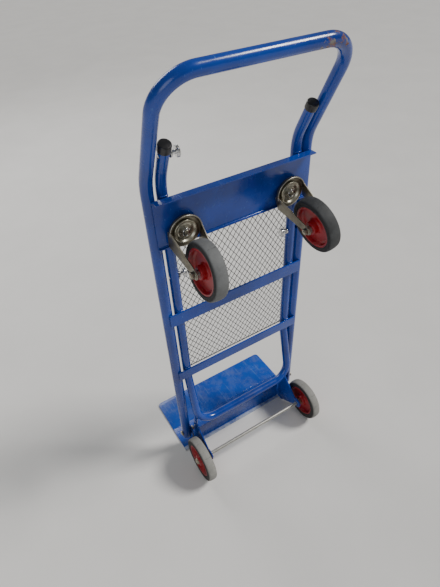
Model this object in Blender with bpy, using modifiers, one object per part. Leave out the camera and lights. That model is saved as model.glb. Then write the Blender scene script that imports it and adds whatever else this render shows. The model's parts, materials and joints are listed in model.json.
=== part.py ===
"""Convertible hand truck: a tubular deck on two fixed wheels and two castors, with a folding handle.

The frame stands upright on its toe plate. X runs across the truck, -Y is the operator's side, where
the wheels and castors are, +Y is the load side, and +Z is up. The origin is at the bottom centre of
the bounding box. All values are metres.
"""

import math

import bmesh
import bpy
from mathutils import Matrix, Vector

GAP = 0.0003
OVERRUN = 0.01
WELD_DISTANCE = 0.00001

# Tubes: the folding handle is the outer loop, the deck tube is the inner one.
HANDLE_RADIUS = 0.0127
HANDLE_WALL = 0.0016
HANDLE_X = 0.187
HANDLE_FOOT_Z = 0.066
DECK_TUBE_RADIUS = 0.0111
DECK_TUBE_WALL = 0.0015
DECK_X = 0.158
DECK_BAR_Z = 0.155
DECK_BAR_N = 0.040
DECK_BEND_RADIUS = 0.053
DECK_TOE_IN_Z = 0.334
DECK_TOE_IN_RADIUS = 0.060
KINK_Z = 0.896
KINK_ANGLE = math.radians(27)
KINK_BEND_RADIUS = 0.110
GRIP_REACH = 0.228
GRIP_BEND_RADIUS = 0.066
DECK_END_REACH = 0.090
CAP_WALL = 0.0012
CAP_SKIRT = 0.013
CAP_TOP = 0.003

# How finely round shapes are faceted.
TUBE_RESOLUTION = 4
BEND_STEP = math.radians(15)
SMALL_SIDES = 12
CUP_SIDES = 20
WHEEL_SIDES = 24

# Castor plate and crossbars on the operator's face of the tubes, and the mesh on the load side.
FACE_N = HANDLE_RADIUS + GAP
PLATE_HALF_WIDTH = 0.187
PLATE_BOTTOM_Z = 0.758
PLATE_TOP_Z = 0.867
PLATE_THICKNESS = 0.0025
PLATE_FLANGE = 0.022
PLATE_LIP = 0.0075
CROSSBAR_THICKNESS = 0.004
CROSSBAR_EDGE = 0.0006
UPPER_BAR_Z = (0.539, 0.573)
LOWER_BAR_Z = (0.343, 0.372)
MESH_THICKNESS = 0.0024
MESH_BORDER = 0.007
MESH_PITCH = 0.0525
MESH_WIRE = 0.0034
MESH_BOTTOM_Z = 0.346
MESH_TOP_Z = 0.790

# Toe plate, heel angle, pivots and axle brackets.
TOE_HALF_WIDTH = 0.202
TOE_FRONT = 0.190
TOE_THICKNESS = 0.0035
TOE_CORNER = 0.012
HEEL_BACK = -0.008
HEEL_FRONT = 0.075
HEEL_THICKNESS = 0.003
HEEL_Y = 0.003
HEEL_WEB_HALF_WIDTH = 0.155
HEEL_WEB_TOP_Z = 0.0606
PIVOT_Z = 0.086
PIVOT_LUG_RADIUS = 0.013
PIVOT_LUG_X = (0.170, 0.174)
PIVOT_BOLT_RADIUS = 0.004
PIVOT_HEAD_RADIUS = 0.0078
SMALL_NUT_RADIUS = 0.0075
# A domed bolt head in shares of its radius: the height at its middle, then (radius, height) outwards.
DOME_TOP = 0.58
DOME_SLOPE = (0.5, 0.54)
DOME_EDGE = (0.95, 0.28)
PIVOT_NUT_LENGTH = 0.0062
BRACKET_X = (0.158, 0.162)
BRACKET_TOP_Z = 0.166
BRACKET_TOP_N = (0.017, 0.032)
BRACKET_WAIST_Z = 0.130
BRACKET_WAIST_N = 0.024
BRACKET_BACK_Z = 0.062
BRACKET_FOOT_N = 0.022
AXLE_BOSS_RADIUS = 0.016

# Fixed wheels.
AXLE_RADIUS = 0.005
AXLE_N = 0.092
AXLE_HALF_LENGTH = 0.205
WHEEL_RADIUS = 0.065
WHEEL_X = 0.187
WHEEL_HUB_RADIUS = 0.048
WHEEL_TYRE_HALF = 0.013
WHEEL_BOSS_HALF = 0.014
BUSH_WALL = 0.0025
HUB_BOSS_WALL = 0.007
HUB_RIM_WALL = 0.0045
HUB_WEB_HALF = 0.003
HUB_DRAFT = 0.002
RIM_INSET = 0.001
SHOULDER = 0.0045
SHOULDER_DROP = 0.0012
SPACER_RADIUS = 0.009
AXLE_CAP_RADIUS = 0.0095
AXLE_CAP_WALL = 0.0025
# The cap's outer shape: shares of its radius, and of its wall above the rim or the floor.
AXLE_CAP_SLOPE = (0.5, 0.8)
AXLE_CAP_EDGE = (0.95, 0.6)

# Castors: distances from the castor plate's front face, and the trail of the wheel behind the bolt.
CASTOR_X = 0.130
CASTOR_Z = 0.7885
CASTOR_SWIVELS = {"left": math.radians(-4), "right": math.radians(12)}
CASTOR_HEIGHT = 0.155
CASTOR_TRAIL = 0.045
CASTOR_WHEEL_RADIUS = 0.0625
CASTOR_HUB_RADIUS = 0.049
CASTOR_TYRE_HALF = 0.0145
CASTOR_BOSS_HALF = 0.018
KING_BOLT_RADIUS = 0.005
RACE_RADIUS = 0.026
RACE_HEIGHT = 0.005
KING_NUT_RADIUS = 0.0095
KING_NUT_LENGTH = 0.007
KING_HEAD_RADIUS = 0.0085
THREAD_OVERHANG = 0.0015
CROWN_RADIUS = 0.037
CROWN_SHOULDER = 0.005
CROWN_SHOULDER_CUT = 0.3
CROWN_RIM_N = 0.0165
FORK_THICKNESS = 0.0025
FORK_BOSS_RADIUS = 0.0115
FORK_HALF_WIDTH = 0.027
FORK_PAD_RADIUS = 0.009
FORK_PAD_X = (0.0238, 0.0285)
LEG_LAP = 0.006
LEG_HEEL = ((0.032, 0.014), (0.028, 0.0))
CUP_RADIUS = 0.025
CUP_HEIGHT = 0.0055
CUP_FLOOR = 0.0015
CUP_LIP = 0.0025
CASTOR_AXLE_RADIUS = 0.004
CASTOR_HEAD_RADIUS = 0.0073
CASTOR_NUT_LENGTH = 0.0055

# Spring plungers that lock the handle to the deck tube.
LOCK_LOW_Z = 0.670
LOCK_HIGH_REACH = 0.066
LOCK_PIN_RADIUS = 0.004
LOCK_HOUSING_RADIUS = 0.008
LOCK_HOUSING_LENGTH = 0.0035
LOCK_KNOB_RADIUS = 0.0111
LOCK_KNOB_LENGTH = 0.006
LOCK_TRAVEL = 0.008
LOCK_ENGAGEMENT = 0.0006
LOCK_EDGE = 0.001

# The frame plane's place, so that the bounding box is centred on Y.
CASTOR_FACE_N = FACE_N + PLATE_THICKNESS
FRAME_Y = (CASTOR_FACE_N + CASTOR_HEIGHT - TOE_FRONT) / 2
SIDES = {"left": -1, "right": 1}

# Turns a flat XY outline to lie across X, its first axis along Y and its second along Z.
ACROSS_X = Matrix(((0, 0, 1, 0), (1, 0, 0, 0), (0, 1, 0, 0), (0, 0, 0, 1)))

BLUE = ((0.012, 0.070, 0.330), 0.38, 0.1)
BRIGHT_STEEL = ((0.62, 0.61, 0.58), 0.28, 1.0)
ZINC = ((0.50, 0.47, 0.38), 0.35, 1.0)
MESH_STEEL = ((0.10, 0.10, 0.11), 0.5, 0.8)
BLACK_PLASTIC = ((0.012, 0.012, 0.013), 0.45, 0.0)
RED_PLASTIC = ((0.42, 0.008, 0.016), 0.35, 0.0)
BLACK_RUBBER = ((0.035, 0.036, 0.038), 0.75, 0.0)
GREY_RUBBER = ((0.24, 0.235, 0.22), 0.85, 0.0)


def clear_scene():
    for old in list(bpy.data.objects):
        bpy.data.objects.remove(old, do_unlink=True)


def new_collection(name):
    collection = bpy.data.collections.new(name)
    bpy.context.scene.collection.children.link(collection)
    return collection


def add_object(name, data, collection):
    obj = bpy.data.objects.new(name, data)
    collection.objects.link(obj)
    return obj


def finish(obj, look):
    """Gives a part its own material and smooth shading with sharp edges kept."""
    colour, roughness, metallic = look
    material = bpy.data.materials.new(obj.name)
    material.use_nodes = True
    shader = material.node_tree.nodes["Principled BSDF"]
    shader.inputs["Base Color"].default_value = (*colour, 1)
    shader.inputs["Roughness"].default_value = roughness
    shader.inputs["Metallic"].default_value = metallic
    obj.data.materials.append(material)
    obj.data.shade_smooth()
    obj.data.set_sharp_from_angle(angle=math.radians(35))
    return obj


def place(obj, location, rotation=(0, 0, 0), parent=None):
    obj.location = location
    obj.rotation_euler = rotation
    obj.parent = parent
    return obj


def frame_point(x, n, z):
    """A point of the frame: n is the distance from the handle's plane towards the operator."""
    return Vector((x, FRAME_Y - n, z))


def kinked_point(x, n, reach):
    """A point at a distance up the kinked upper part of a tube."""
    back = n + reach * math.sin(KINK_ANGLE)
    return frame_point(x, back, KINK_Z + reach * math.cos(KINK_ANGLE))


def arc(centre, radius, start, end, steps):
    """Points of a plane arc, with angles in degrees."""
    points = []
    for i in range(steps + 1):
        angle = math.radians(start + (end - start) * i / steps)
        points.append((centre[0] + radius * math.cos(angle), centre[1] + radius * math.sin(angle)))
    return points


def rounded_path(corners, radii):
    """A polyline through the corners with each inner corner turned into an arc."""
    path = [corners[0]]
    for i, radius in enumerate(radii, start=1):
        before = (corners[i - 1] - corners[i]).normalized()
        after = (corners[i + 1] - corners[i]).normalized()
        half = before.angle(after) / 2
        towards_centre = (before + after).normalized()
        centre = corners[i] + towards_centre * (radius / math.sin(half))
        first = corners[i] + before * (radius / math.tan(half)) - centre
        last = corners[i] + after * (radius / math.tan(half)) - centre
        turn = first.angle(last)
        steps = max(2, math.ceil(turn / BEND_STEP))
        for k in range(steps + 1):
            share = k / steps
            spoke = first * math.sin((1 - share) * turn) + last * math.sin(share * turn)
            path.append(centre + spoke / math.sin(turn))
    path.append(corners[-1])
    return path


def mesh_from_curve(curve_object, collection):
    """Turns a curve object into a closed mesh object in the same place."""
    name = curve_object.name
    graph = bpy.context.evaluated_depsgraph_get()
    mesh = bpy.data.meshes.new_from_object(curve_object.evaluated_get(graph))
    matrix = curve_object.matrix_world.copy()
    bpy.data.objects.remove(curve_object, do_unlink=True)
    work = bmesh.new()
    work.from_mesh(mesh)
    bmesh.ops.remove_doubles(work, verts=work.verts, dist=WELD_DISTANCE)
    bmesh.ops.recalc_face_normals(work, faces=work.faces)
    work.to_mesh(mesh)
    work.free()
    obj = add_object(name, mesh, collection)
    obj.data.name = name
    obj.matrix_world = matrix
    return obj


def rod(name, path, radius, collection, resolution=TUBE_RESOLUTION):
    """A solid round bar along a path."""
    curve = bpy.data.curves.new(name, "CURVE")
    curve.dimensions = "3D"
    curve.bevel_depth = radius
    curve.bevel_resolution = resolution
    curve.use_fill_caps = True
    spline = curve.splines.new("POLY")
    spline.points.add(len(path) - 1)
    for point, spot in zip(spline.points, path):
        point.co = (*spot, 1)
    return mesh_from_curve(add_object(name, curve, collection), collection)


def slab(name, outline, thickness, collection, openings=()):
    """A flat outline in XY with openings in it, extruded evenly about z = 0."""
    curve = bpy.data.curves.new(name, "CURVE")
    curve.dimensions = "2D"
    curve.fill_mode = "BOTH"
    curve.extrude = thickness / 2
    for loop in (outline, *openings):
        spline = curve.splines.new("POLY")
        spline.points.add(len(loop) - 1)
        for point, (x, y) in zip(spline.points, loop):
            point.co = (x, y, 0, 1)
        spline.use_cyclic_u = True
    return mesh_from_curve(add_object(name, curve, collection), collection)


def cube(name, size, collection):
    """A box about its own origin."""
    mesh = bpy.data.meshes.new(name)
    work = bmesh.new()
    bmesh.ops.create_cube(work, size=1)
    bmesh.ops.scale(work, vec=size, verts=work.verts)
    work.to_mesh(mesh)
    work.free()
    return add_object(name, mesh, collection)


def box(name, low, high, collection):
    """A box between two corners of the frame, given as x, n and z."""
    first = frame_point(*low)
    second = frame_point(*high)
    size = [abs(b - a) for a, b in zip(first, second)]
    return place(cube(name, size, collection), (first + second) / 2)


def cylinder(name, radius, depth, collection, segments=SMALL_SIDES):
    """A cylinder about its own Z axis."""
    mesh = bpy.data.meshes.new(name)
    work = bmesh.new()
    bmesh.ops.create_cone(
        work, cap_ends=True, segments=segments, radius1=radius, radius2=radius, depth=depth
    )
    work.to_mesh(mesh)
    work.free()
    return add_object(name, mesh, collection)


def turned(name, profile, collection, steps=SMALL_SIDES, closed=False):
    """A profile of (radius, height) turned about Z; it runs down the outer side."""
    mesh = bpy.data.meshes.new(name)
    edges = [(i, i + 1) for i in range(len(profile) - 1)]
    if closed:
        edges.append((len(profile) - 1, 0))
    mesh.from_pydata([(radius, 0, height) for radius, height in profile], edges, [])
    obj = add_object(name, mesh, collection)
    screw = obj.modifiers.new("turn", "SCREW")
    screw.steps = steps
    screw.render_steps = steps
    screw.use_merge_vertices = True
    screw.merge_threshold = WELD_DISTANCE
    screw.use_smooth_shade = True
    return obj


def bevelled(obj, width):
    bevel = obj.modifiers.new("edges", "BEVEL")
    bevel.width = width
    bevel.segments = 1
    bevel.limit_method = "ANGLE"
    return obj


def boolean(obj, tool, operation):
    modifier = obj.modifiers.new(f"{operation} {tool.name}".lower(), "BOOLEAN")
    modifier.operation = operation
    modifier.solver = "EXACT"
    modifier.object = tool
    tool.hide_render = True
    tool.display_type = "WIRE"
    return obj


def along_x(obj, x, n, z, parent=None):
    """Lays a piece made about Z along X, its top towards +X."""
    return place(obj, frame_point(x, n, z), (0, math.pi / 2, 0), parent)


def bore_x(obj, tools, name, x, n, z, radius, length):
    """Drills a hole along X."""
    tool = along_x(cylinder(name, radius, length, tools), x, n, z)
    return boolean(obj, tool, "DIFFERENCE")


def hollow_tube(name, corners, radii, radius, wall, parts, tools):
    """A bent tube that is open at both ends."""
    path = rounded_path(corners, radii)
    outer = rod(name, path, radius, parts)
    first = path[0] + (path[0] - path[1]).normalized() * OVERRUN
    last = path[-1] + (path[-1] - path[-2]).normalized() * OVERRUN
    inner = rod(f"{name}_bore", [first, *path[1:-1], last], radius - wall, tools)
    return boolean(outer, inner, "DIFFERENCE")


def lock_places():
    """Name, x side, n and z of each spring plunger's axis: one low on each side, one high on the left."""
    for side, sign in SIDES.items():
        yield f"{side}_lower", sign, deck_tube_n(), LOCK_LOW_Z
    high = kinked_point(0, deck_tube_n(), LOCK_HIGH_REACH)
    yield "left_upper", SIDES["left"], FRAME_Y - high.y, high.z


def deck_tube_n():
    """The deck tube is thinner, and its front is level with the handle's."""
    return HANDLE_RADIUS - DECK_TUBE_RADIUS


def handle(parts, tools):
    grip_left = kinked_point(-HANDLE_X, 0, GRIP_REACH)
    grip_right = kinked_point(HANDLE_X, 0, GRIP_REACH)
    corners = [
        frame_point(-HANDLE_X, 0, HANDLE_FOOT_Z),
        frame_point(-HANDLE_X, 0, KINK_Z),
        grip_left,
        grip_right,
        frame_point(HANDLE_X, 0, KINK_Z),
        frame_point(HANDLE_X, 0, HANDLE_FOOT_Z),
    ]
    radii = [KINK_BEND_RADIUS, GRIP_BEND_RADIUS, GRIP_BEND_RADIUS, KINK_BEND_RADIUS]
    tube = hollow_tube("handle_tube", corners, radii, HANDLE_RADIUS, HANDLE_WALL, parts, tools)
    for side, sign in SIDES.items():
        clearance = PIVOT_BOLT_RADIUS + GAP
        length = 4 * HANDLE_RADIUS
        bore_x(tube, tools, f"handle_pivot_{side}", sign * HANDLE_X, 0, PIVOT_Z, clearance, length)
    for name, sign, n, z in lock_places():
        x = sign * (HANDLE_X - HANDLE_RADIUS)
        bore_x(tube, tools, f"handle_hole_{name}", x, n, z, LOCK_PIN_RADIUS + 2 * GAP, HANDLE_RADIUS)
    tube.data.transform(Matrix.Translation(-pivot_point()))
    place(tube, pivot_point())
    return finish(tube, BLUE)


def pivot_point():
    return frame_point(0, 0, PIVOT_Z)


def deck_tube(parts, tools):
    n = deck_tube_n()
    corners = [
        kinked_point(-DECK_X, n, DECK_END_REACH),
        frame_point(-DECK_X, n, KINK_Z),
        frame_point(-DECK_X, n, DECK_TOE_IN_Z),
        frame_point(-DECK_X, DECK_BAR_N, DECK_BAR_Z),
        frame_point(DECK_X, DECK_BAR_N, DECK_BAR_Z),
        frame_point(DECK_X, n, DECK_TOE_IN_Z),
        frame_point(DECK_X, n, KINK_Z),
        kinked_point(DECK_X, n, DECK_END_REACH),
    ]
    radii = [KINK_BEND_RADIUS, DECK_TOE_IN_RADIUS, DECK_BEND_RADIUS]
    radii += reversed(radii)
    tube = hollow_tube("deck_tube", corners, radii, DECK_TUBE_RADIUS, DECK_TUBE_WALL, parts, tools)
    for name, sign, lock_n, z in lock_places():
        radius = LOCK_PIN_RADIUS + 2 * GAP
        bore_x(tube, tools, f"deck_hole_{name}", sign * DECK_X, lock_n, z, radius, 3 * DECK_TUBE_RADIUS)
    return finish(tube, BLUE)


def end_caps(parts):
    inner = DECK_TUBE_RADIUS + GAP
    outer = inner + CAP_WALL
    profile = [
        (0, CAP_TOP),
        (outer - CAP_TOP, CAP_TOP),
        (outer, CAP_TOP / 3),
        (outer, -CAP_SKIRT),
        (inner, -CAP_SKIRT),
        (inner, GAP),
        (0, GAP),
    ]
    for side, sign in SIDES.items():
        cap = turned(f"end_cap_{side}", profile, parts, steps=CUP_SIDES)
        end = kinked_point(sign * DECK_X, deck_tube_n(), DECK_END_REACH)
        place(cap, end, (KINK_ANGLE, 0, 0))
        finish(cap, BLACK_PLASTIC)


def castor_plate(parts, tools):
    half = PLATE_HALF_WIDTH
    front = CASTOR_FACE_N
    top_edge = PLATE_TOP_Z - PLATE_THICKNESS
    low_edge = PLATE_BOTTOM_Z + PLATE_THICKNESS
    plate = box("castor_plate", (-half, FACE_N, PLATE_BOTTOM_Z), (half, front, PLATE_TOP_Z), parts)
    flange_n = FACE_N + PLATE_FLANGE
    flange = box("plate_flange", (-half, FACE_N, top_edge), (half, flange_n, PLATE_TOP_Z), tools)
    lip = box("plate_lip", (-half, FACE_N, PLATE_BOTTOM_Z), (half, FACE_N + PLATE_LIP, low_edge), tools)
    boolean(plate, flange, "UNION")
    boolean(plate, lip, "UNION")
    for side, sign in SIDES.items():
        hole = cylinder(f"king_hole_{side}", KING_BOLT_RADIUS + GAP, OVERRUN, tools)
        place(hole, frame_point(sign * CASTOR_X, FACE_N, CASTOR_Z), (math.pi / 2, 0, 0))
        boolean(plate, hole, "DIFFERENCE")
    return finish(plate, BLUE)


def crossbars(parts):
    for name, (low, high) in (("crossbar_upper", UPPER_BAR_Z), ("crossbar_lower", LOWER_BAR_Z)):
        near = FACE_N + CROSSBAR_THICKNESS
        bar = box(name, (-PLATE_HALF_WIDTH, FACE_N, low), (PLATE_HALF_WIDTH, near, high), parts)
        finish(bevelled(bar, CROSSBAR_EDGE), BLUE)


def diamond_openings(half_width, half_height):
    """The openings of a diamond mesh, clipped to a rectangle about the origin."""
    columns = round(2 * half_width / MESH_PITCH)
    rows = round(2 * half_height / MESH_PITCH)
    step_x = half_width / columns
    step_y = half_height / rows
    inset = MESH_WIRE / math.sqrt(2)
    work = bmesh.new()
    for i in range(2 * columns + 1):
        for k in range(i % 2, 2 * rows + 1, 2):
            x = -half_width + i * step_x
            y = -half_height + k * step_y
            reach_x = step_x - inset
            reach_y = step_y - inset
            corners = [(x - reach_x, y), (x, y - reach_y), (x + reach_x, y), (x, y + reach_y)]
            work.faces.new([work.verts.new((*corner, 0)) for corner in corners])
    clip_to_rectangle(work, half_width, half_height)
    openings = [[vert.co.xy[:] for vert in face.verts] for face in work.faces]
    work.free()
    return openings


def clip_to_rectangle(work, half_width, half_height):
    """Trims flat faces at a rectangle about the origin."""
    for direction, distance in (
        (Vector((1, 0, 0)), half_width),
        (Vector((-1, 0, 0)), half_width),
        (Vector((0, 1, 0)), half_height),
        (Vector((0, -1, 0)), half_height),
    ):
        everything = [*work.verts, *work.edges, *work.faces]
        bmesh.ops.bisect_plane(
            work, geom=everything, plane_co=direction * distance, plane_no=direction, clear_outer=True
        )


def deck_mesh(parts):
    """A diamond mesh in a flat border, lying on the load side of the deck tube."""
    half_width = DECK_X
    half_height = (MESH_TOP_Z - MESH_BOTTOM_Z) / 2
    corners = [(-half_width, -half_height), (half_width, -half_height)]
    corners += [(half_width, half_height), (-half_width, half_height)]
    openings = diamond_openings(half_width - MESH_BORDER, half_height - MESH_BORDER)
    panel = slab("deck_mesh", corners, MESH_THICKNESS, parts, openings)
    n = deck_tube_n() - DECK_TUBE_RADIUS - GAP - MESH_THICKNESS / 2
    middle = frame_point(0, n, (MESH_TOP_Z + MESH_BOTTOM_Z) / 2)
    place(panel, middle, (math.pi / 2, 0, 0))
    return finish(panel, MESH_STEEL)


def toe_plate(parts):
    corner_x = TOE_HALF_WIDTH - TOE_CORNER
    corner_y = TOE_FRONT - TOE_CORNER
    outline = [
        (-TOE_HALF_WIDTH, HEEL_FRONT + GAP),
        (TOE_HALF_WIDTH, HEEL_FRONT + GAP),
        *arc((corner_x, corner_y), TOE_CORNER, 0, 90, 4),
        *arc((-corner_x, corner_y), TOE_CORNER, 90, 180, 4),
    ]
    plate = slab("toe_plate", outline, TOE_THICKNESS, parts)
    place(plate, frame_point(0, 0, TOE_THICKNESS / 2))
    return finish(plate, BLUE)


def heel_angle(parts, tools):
    """The rear strip of the toe plate, with the upright web that stiffens it."""
    half = TOE_HALF_WIDTH
    base = box("heel_angle", (-half, -HEEL_FRONT, 0), (half, -HEEL_BACK, TOE_THICKNESS), parts)
    web_half = HEEL_WEB_HALF_WIDTH
    web_n = -HEEL_Y - HEEL_THICKNESS
    low = TOE_THICKNESS / 2
    web = box("heel_web", (-web_half, web_n, low), (web_half, -HEEL_Y, HEEL_WEB_TOP_Z), tools)
    boolean(base, web, "UNION")
    return finish(base, BLUE)


def seat_z():
    """The height at which brackets stand on the heel angle."""
    return TOE_THICKNESS + GAP


def upright_plate(name, outline, x_range, parts):
    """A plate across X, from an outline of (n, z)."""
    plate = slab(name, [(-n, z) for n, z in outline], x_range[1] - x_range[0], parts)
    middle = (x_range[0] + x_range[1]) / 2
    plate.data.transform(ACROSS_X)
    return place(plate, (middle, FRAME_Y, 0))


def mirrored_range(x_range, sign):
    return tuple(sorted(sign * x for x in x_range))


def pivots(parts, tools):
    outline = [
        (-PIVOT_LUG_RADIUS, seat_z()),
        (PIVOT_LUG_RADIUS, seat_z()),
        *arc((0, PIVOT_Z), PIVOT_LUG_RADIUS, 0, 180, 10),
    ]
    outer_x = HANDLE_X + HANDLE_RADIUS + GAP
    nut_start = PIVOT_LUG_X[0] - GAP - PIVOT_NUT_LENGTH
    profile = bolt_profile(PIVOT_HEAD_RADIUS, PIVOT_BOLT_RADIUS, outer_x - nut_start)
    for side, sign in SIDES.items():
        lug = upright_plate(f"pivot_lug_{side}", outline, mirrored_range(PIVOT_LUG_X, sign), parts)
        x = sign * sum(PIVOT_LUG_X) / 2
        bore_x(lug, tools, f"lug_hole_{side}", x, 0, PIVOT_Z, PIVOT_BOLT_RADIUS + GAP, OVERRUN)
        finish(lug, BLUE)
        turn = (0, sign * math.pi / 2, 0)
        bolt = turned(f"pivot_bolt_{side}", profile, parts)
        finish(place(bolt, frame_point(sign * outer_x, 0, PIVOT_Z), turn), ZINC)
        nut = hex_nut(f"pivot_nut_{side}", SMALL_NUT_RADIUS, PIVOT_BOLT_RADIUS, PIVOT_NUT_LENGTH, parts)
        finish(place(nut, frame_point(sign * nut_start, 0, PIVOT_Z), turn), ZINC)


def bolt_profile(head, shank, length):
    """A domed head above z = 0 and a plain shank below it."""
    return [
        (0, DOME_TOP * head),
        (DOME_SLOPE[0] * head, DOME_SLOPE[1] * head),
        (DOME_EDGE[0] * head, DOME_EDGE[1] * head),
        (head, 0),
        (shank, 0),
        (shank, -length),
        (0, -length),
    ]


def hex_nut(name, radius, bolt_radius, length, parts):
    """A hexagonal nut about Z from height 0, whose bore clears the bolt."""
    bore = (bolt_radius + GAP) / math.cos(math.pi / 6)
    profile = [(bore, length), (radius, length), (radius, 0), (bore, 0)]
    return turned(name, profile, parts, steps=6, closed=True)


def washer(name, inner, outer, length, parts):
    """A flat ring about Z from height 0."""
    profile = [(inner, length), (outer, length), (outer, 0), (inner, 0)]
    return turned(name, profile, parts, closed=True)


def axle_brackets(parts, tools):
    back = -HEEL_Y - HEEL_THICKNESS
    outline = [
        (back, seat_z()),
        (back, BRACKET_BACK_Z),
        (BRACKET_TOP_N[0], BRACKET_TOP_Z),
        (BRACKET_TOP_N[1], BRACKET_TOP_Z),
        (BRACKET_WAIST_N, BRACKET_WAIST_Z),
        *arc((AXLE_N, WHEEL_RADIUS), AXLE_BOSS_RADIUS, 130, -110, 10),
        (BRACKET_FOOT_N, seat_z()),
    ]
    for side, sign in SIDES.items():
        name = f"axle_bracket_{side}"
        bracket = upright_plate(name, outline, mirrored_range(BRACKET_X, sign), parts)
        x = sign * sum(BRACKET_X) / 2
        bore_x(bracket, tools, f"axle_hole_{side}", x, AXLE_N, WHEEL_RADIUS, AXLE_RADIUS + GAP, OVERRUN)
        finish(bracket, BLUE)


def tyre_profile(inner, outer, half):
    """A solid tyre with a crowned tread and rounded shoulders."""
    upper = [
        (inner, half),
        (outer - SHOULDER, half),
        (outer - SHOULDER_DROP, half - SHOULDER),
        (outer, half / 3),
    ]
    return upper + [(radius, -height) for radius, height in reversed(upper)]


def hub_profile(bore, rim, boss_half, rim_half):
    """A dished hub: a boss, a thin web and a rim that carries the tyre."""
    boss = bore + HUB_BOSS_WALL
    rim_inner = rim - HUB_RIM_WALL
    upper = [
        (bore, boss_half),
        (boss, boss_half),
        (boss + HUB_DRAFT, HUB_WEB_HALF),
        (rim_inner - HUB_DRAFT, HUB_WEB_HALF),
        (rim_inner, rim_half),
        (rim, rim_half),
    ]
    return upper + [(radius, -height) for radius, height in reversed(upper)]


def fixed_wheels(parts):
    bush_outer = AXLE_RADIUS + BUSH_WALL
    rim_half = WHEEL_TYRE_HALF - RIM_INSET
    hub_shape = hub_profile(bush_outer + GAP, WHEEL_HUB_RADIUS - GAP, WHEEL_BOSS_HALF, rim_half)
    tyre_shape = tyre_profile(WHEEL_HUB_RADIUS, WHEEL_RADIUS, WHEEL_TYRE_HALF)
    spacer_start = BRACKET_X[1] + GAP
    spacer_length = WHEEL_X - WHEEL_BOSS_HALF - GAP - spacer_start
    cap_start = WHEEL_X + WHEEL_BOSS_HALF + GAP
    cap_depth = AXLE_HALF_LENGTH + GAP - cap_start
    cap_bore = AXLE_RADIUS + GAP
    cap_shape = [
        (0, cap_depth + AXLE_CAP_WALL),
        (AXLE_CAP_SLOPE[0] * AXLE_CAP_RADIUS, cap_depth + AXLE_CAP_SLOPE[1] * AXLE_CAP_WALL),
        (AXLE_CAP_EDGE[0] * AXLE_CAP_RADIUS, AXLE_CAP_EDGE[1] * AXLE_CAP_WALL),
        (AXLE_CAP_RADIUS, 0),
        (cap_bore, 0),
        (cap_bore, cap_depth),
        (0, cap_depth),
    ]
    axle = cylinder("axle", AXLE_RADIUS, 2 * AXLE_HALF_LENGTH, parts)
    finish(along_x(axle, 0, AXLE_N, WHEEL_RADIUS), BRIGHT_STEEL)
    for side, sign in SIDES.items():
        hub = turned(f"wheel_hub_{side}", hub_shape, parts, steps=WHEEL_SIDES, closed=True)
        finish(along_x(hub, sign * WHEEL_X, AXLE_N, WHEEL_RADIUS), RED_PLASTIC)
        tyre = turned(f"wheel_tyre_{side}", tyre_shape, parts, steps=WHEEL_SIDES, closed=True)
        finish(along_x(tyre, sign * WHEEL_X, AXLE_N, WHEEL_RADIUS), GREY_RUBBER)
        bush = washer(f"wheel_bush_{side}", cap_bore, bush_outer, 2 * WHEEL_BOSS_HALF, parts)
        finish(along_x(bush, sign * WHEEL_X - WHEEL_BOSS_HALF, AXLE_N, WHEEL_RADIUS), BLACK_PLASTIC)
        turn = (0, sign * math.pi / 2, 0)
        spacer = washer(f"wheel_spacer_{side}", cap_bore, SPACER_RADIUS, spacer_length, parts)
        place(spacer, frame_point(sign * spacer_start, AXLE_N, WHEEL_RADIUS), turn)
        finish(spacer, ZINC)
        cap = turned(f"axle_cap_{side}", cap_shape, parts)
        place(cap, frame_point(sign * cap_start, AXLE_N, WHEEL_RADIUS), turn)
        finish(cap, ZINC)


def crown_profile(top):
    """A shallow bell: a flat crown with a rounded shoulder and a skirt, its rim away from the plate."""
    inner = CROWN_RADIUS - FORK_THICKNESS
    floor = top + FORK_THICKNESS
    bore = KING_BOLT_RADIUS + GAP
    cut = CROWN_SHOULDER_CUT * CROWN_SHOULDER
    shape = [
        (bore, top),
        (CROWN_RADIUS - CROWN_SHOULDER, top),
        (CROWN_RADIUS - cut, top + cut),
        (CROWN_RADIUS, top + CROWN_SHOULDER),
        (CROWN_RADIUS, CROWN_RIM_N),
        (inner, CROWN_RIM_N),
        (inner, floor + CROWN_SHOULDER / 2),
        (inner - CROWN_SHOULDER / 2, floor),
        (bore, floor),
    ]
    return [(radius, n) for radius, n in reversed(shape)]


def fork_leg_outline(start, axle_n):
    """The side of a castor fork in (trail, n): broad at the crown, tapering to the axle boss."""
    return [
        (-LEG_LAP, start),
        (-LEG_LAP, CROWN_RIM_N),
        *arc((CASTOR_TRAIL, axle_n), FORK_BOSS_RADIUS, 140, -60, 8),
        *[(trail, start + rise) for trail, rise in LEG_HEEL],
    ]


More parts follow.
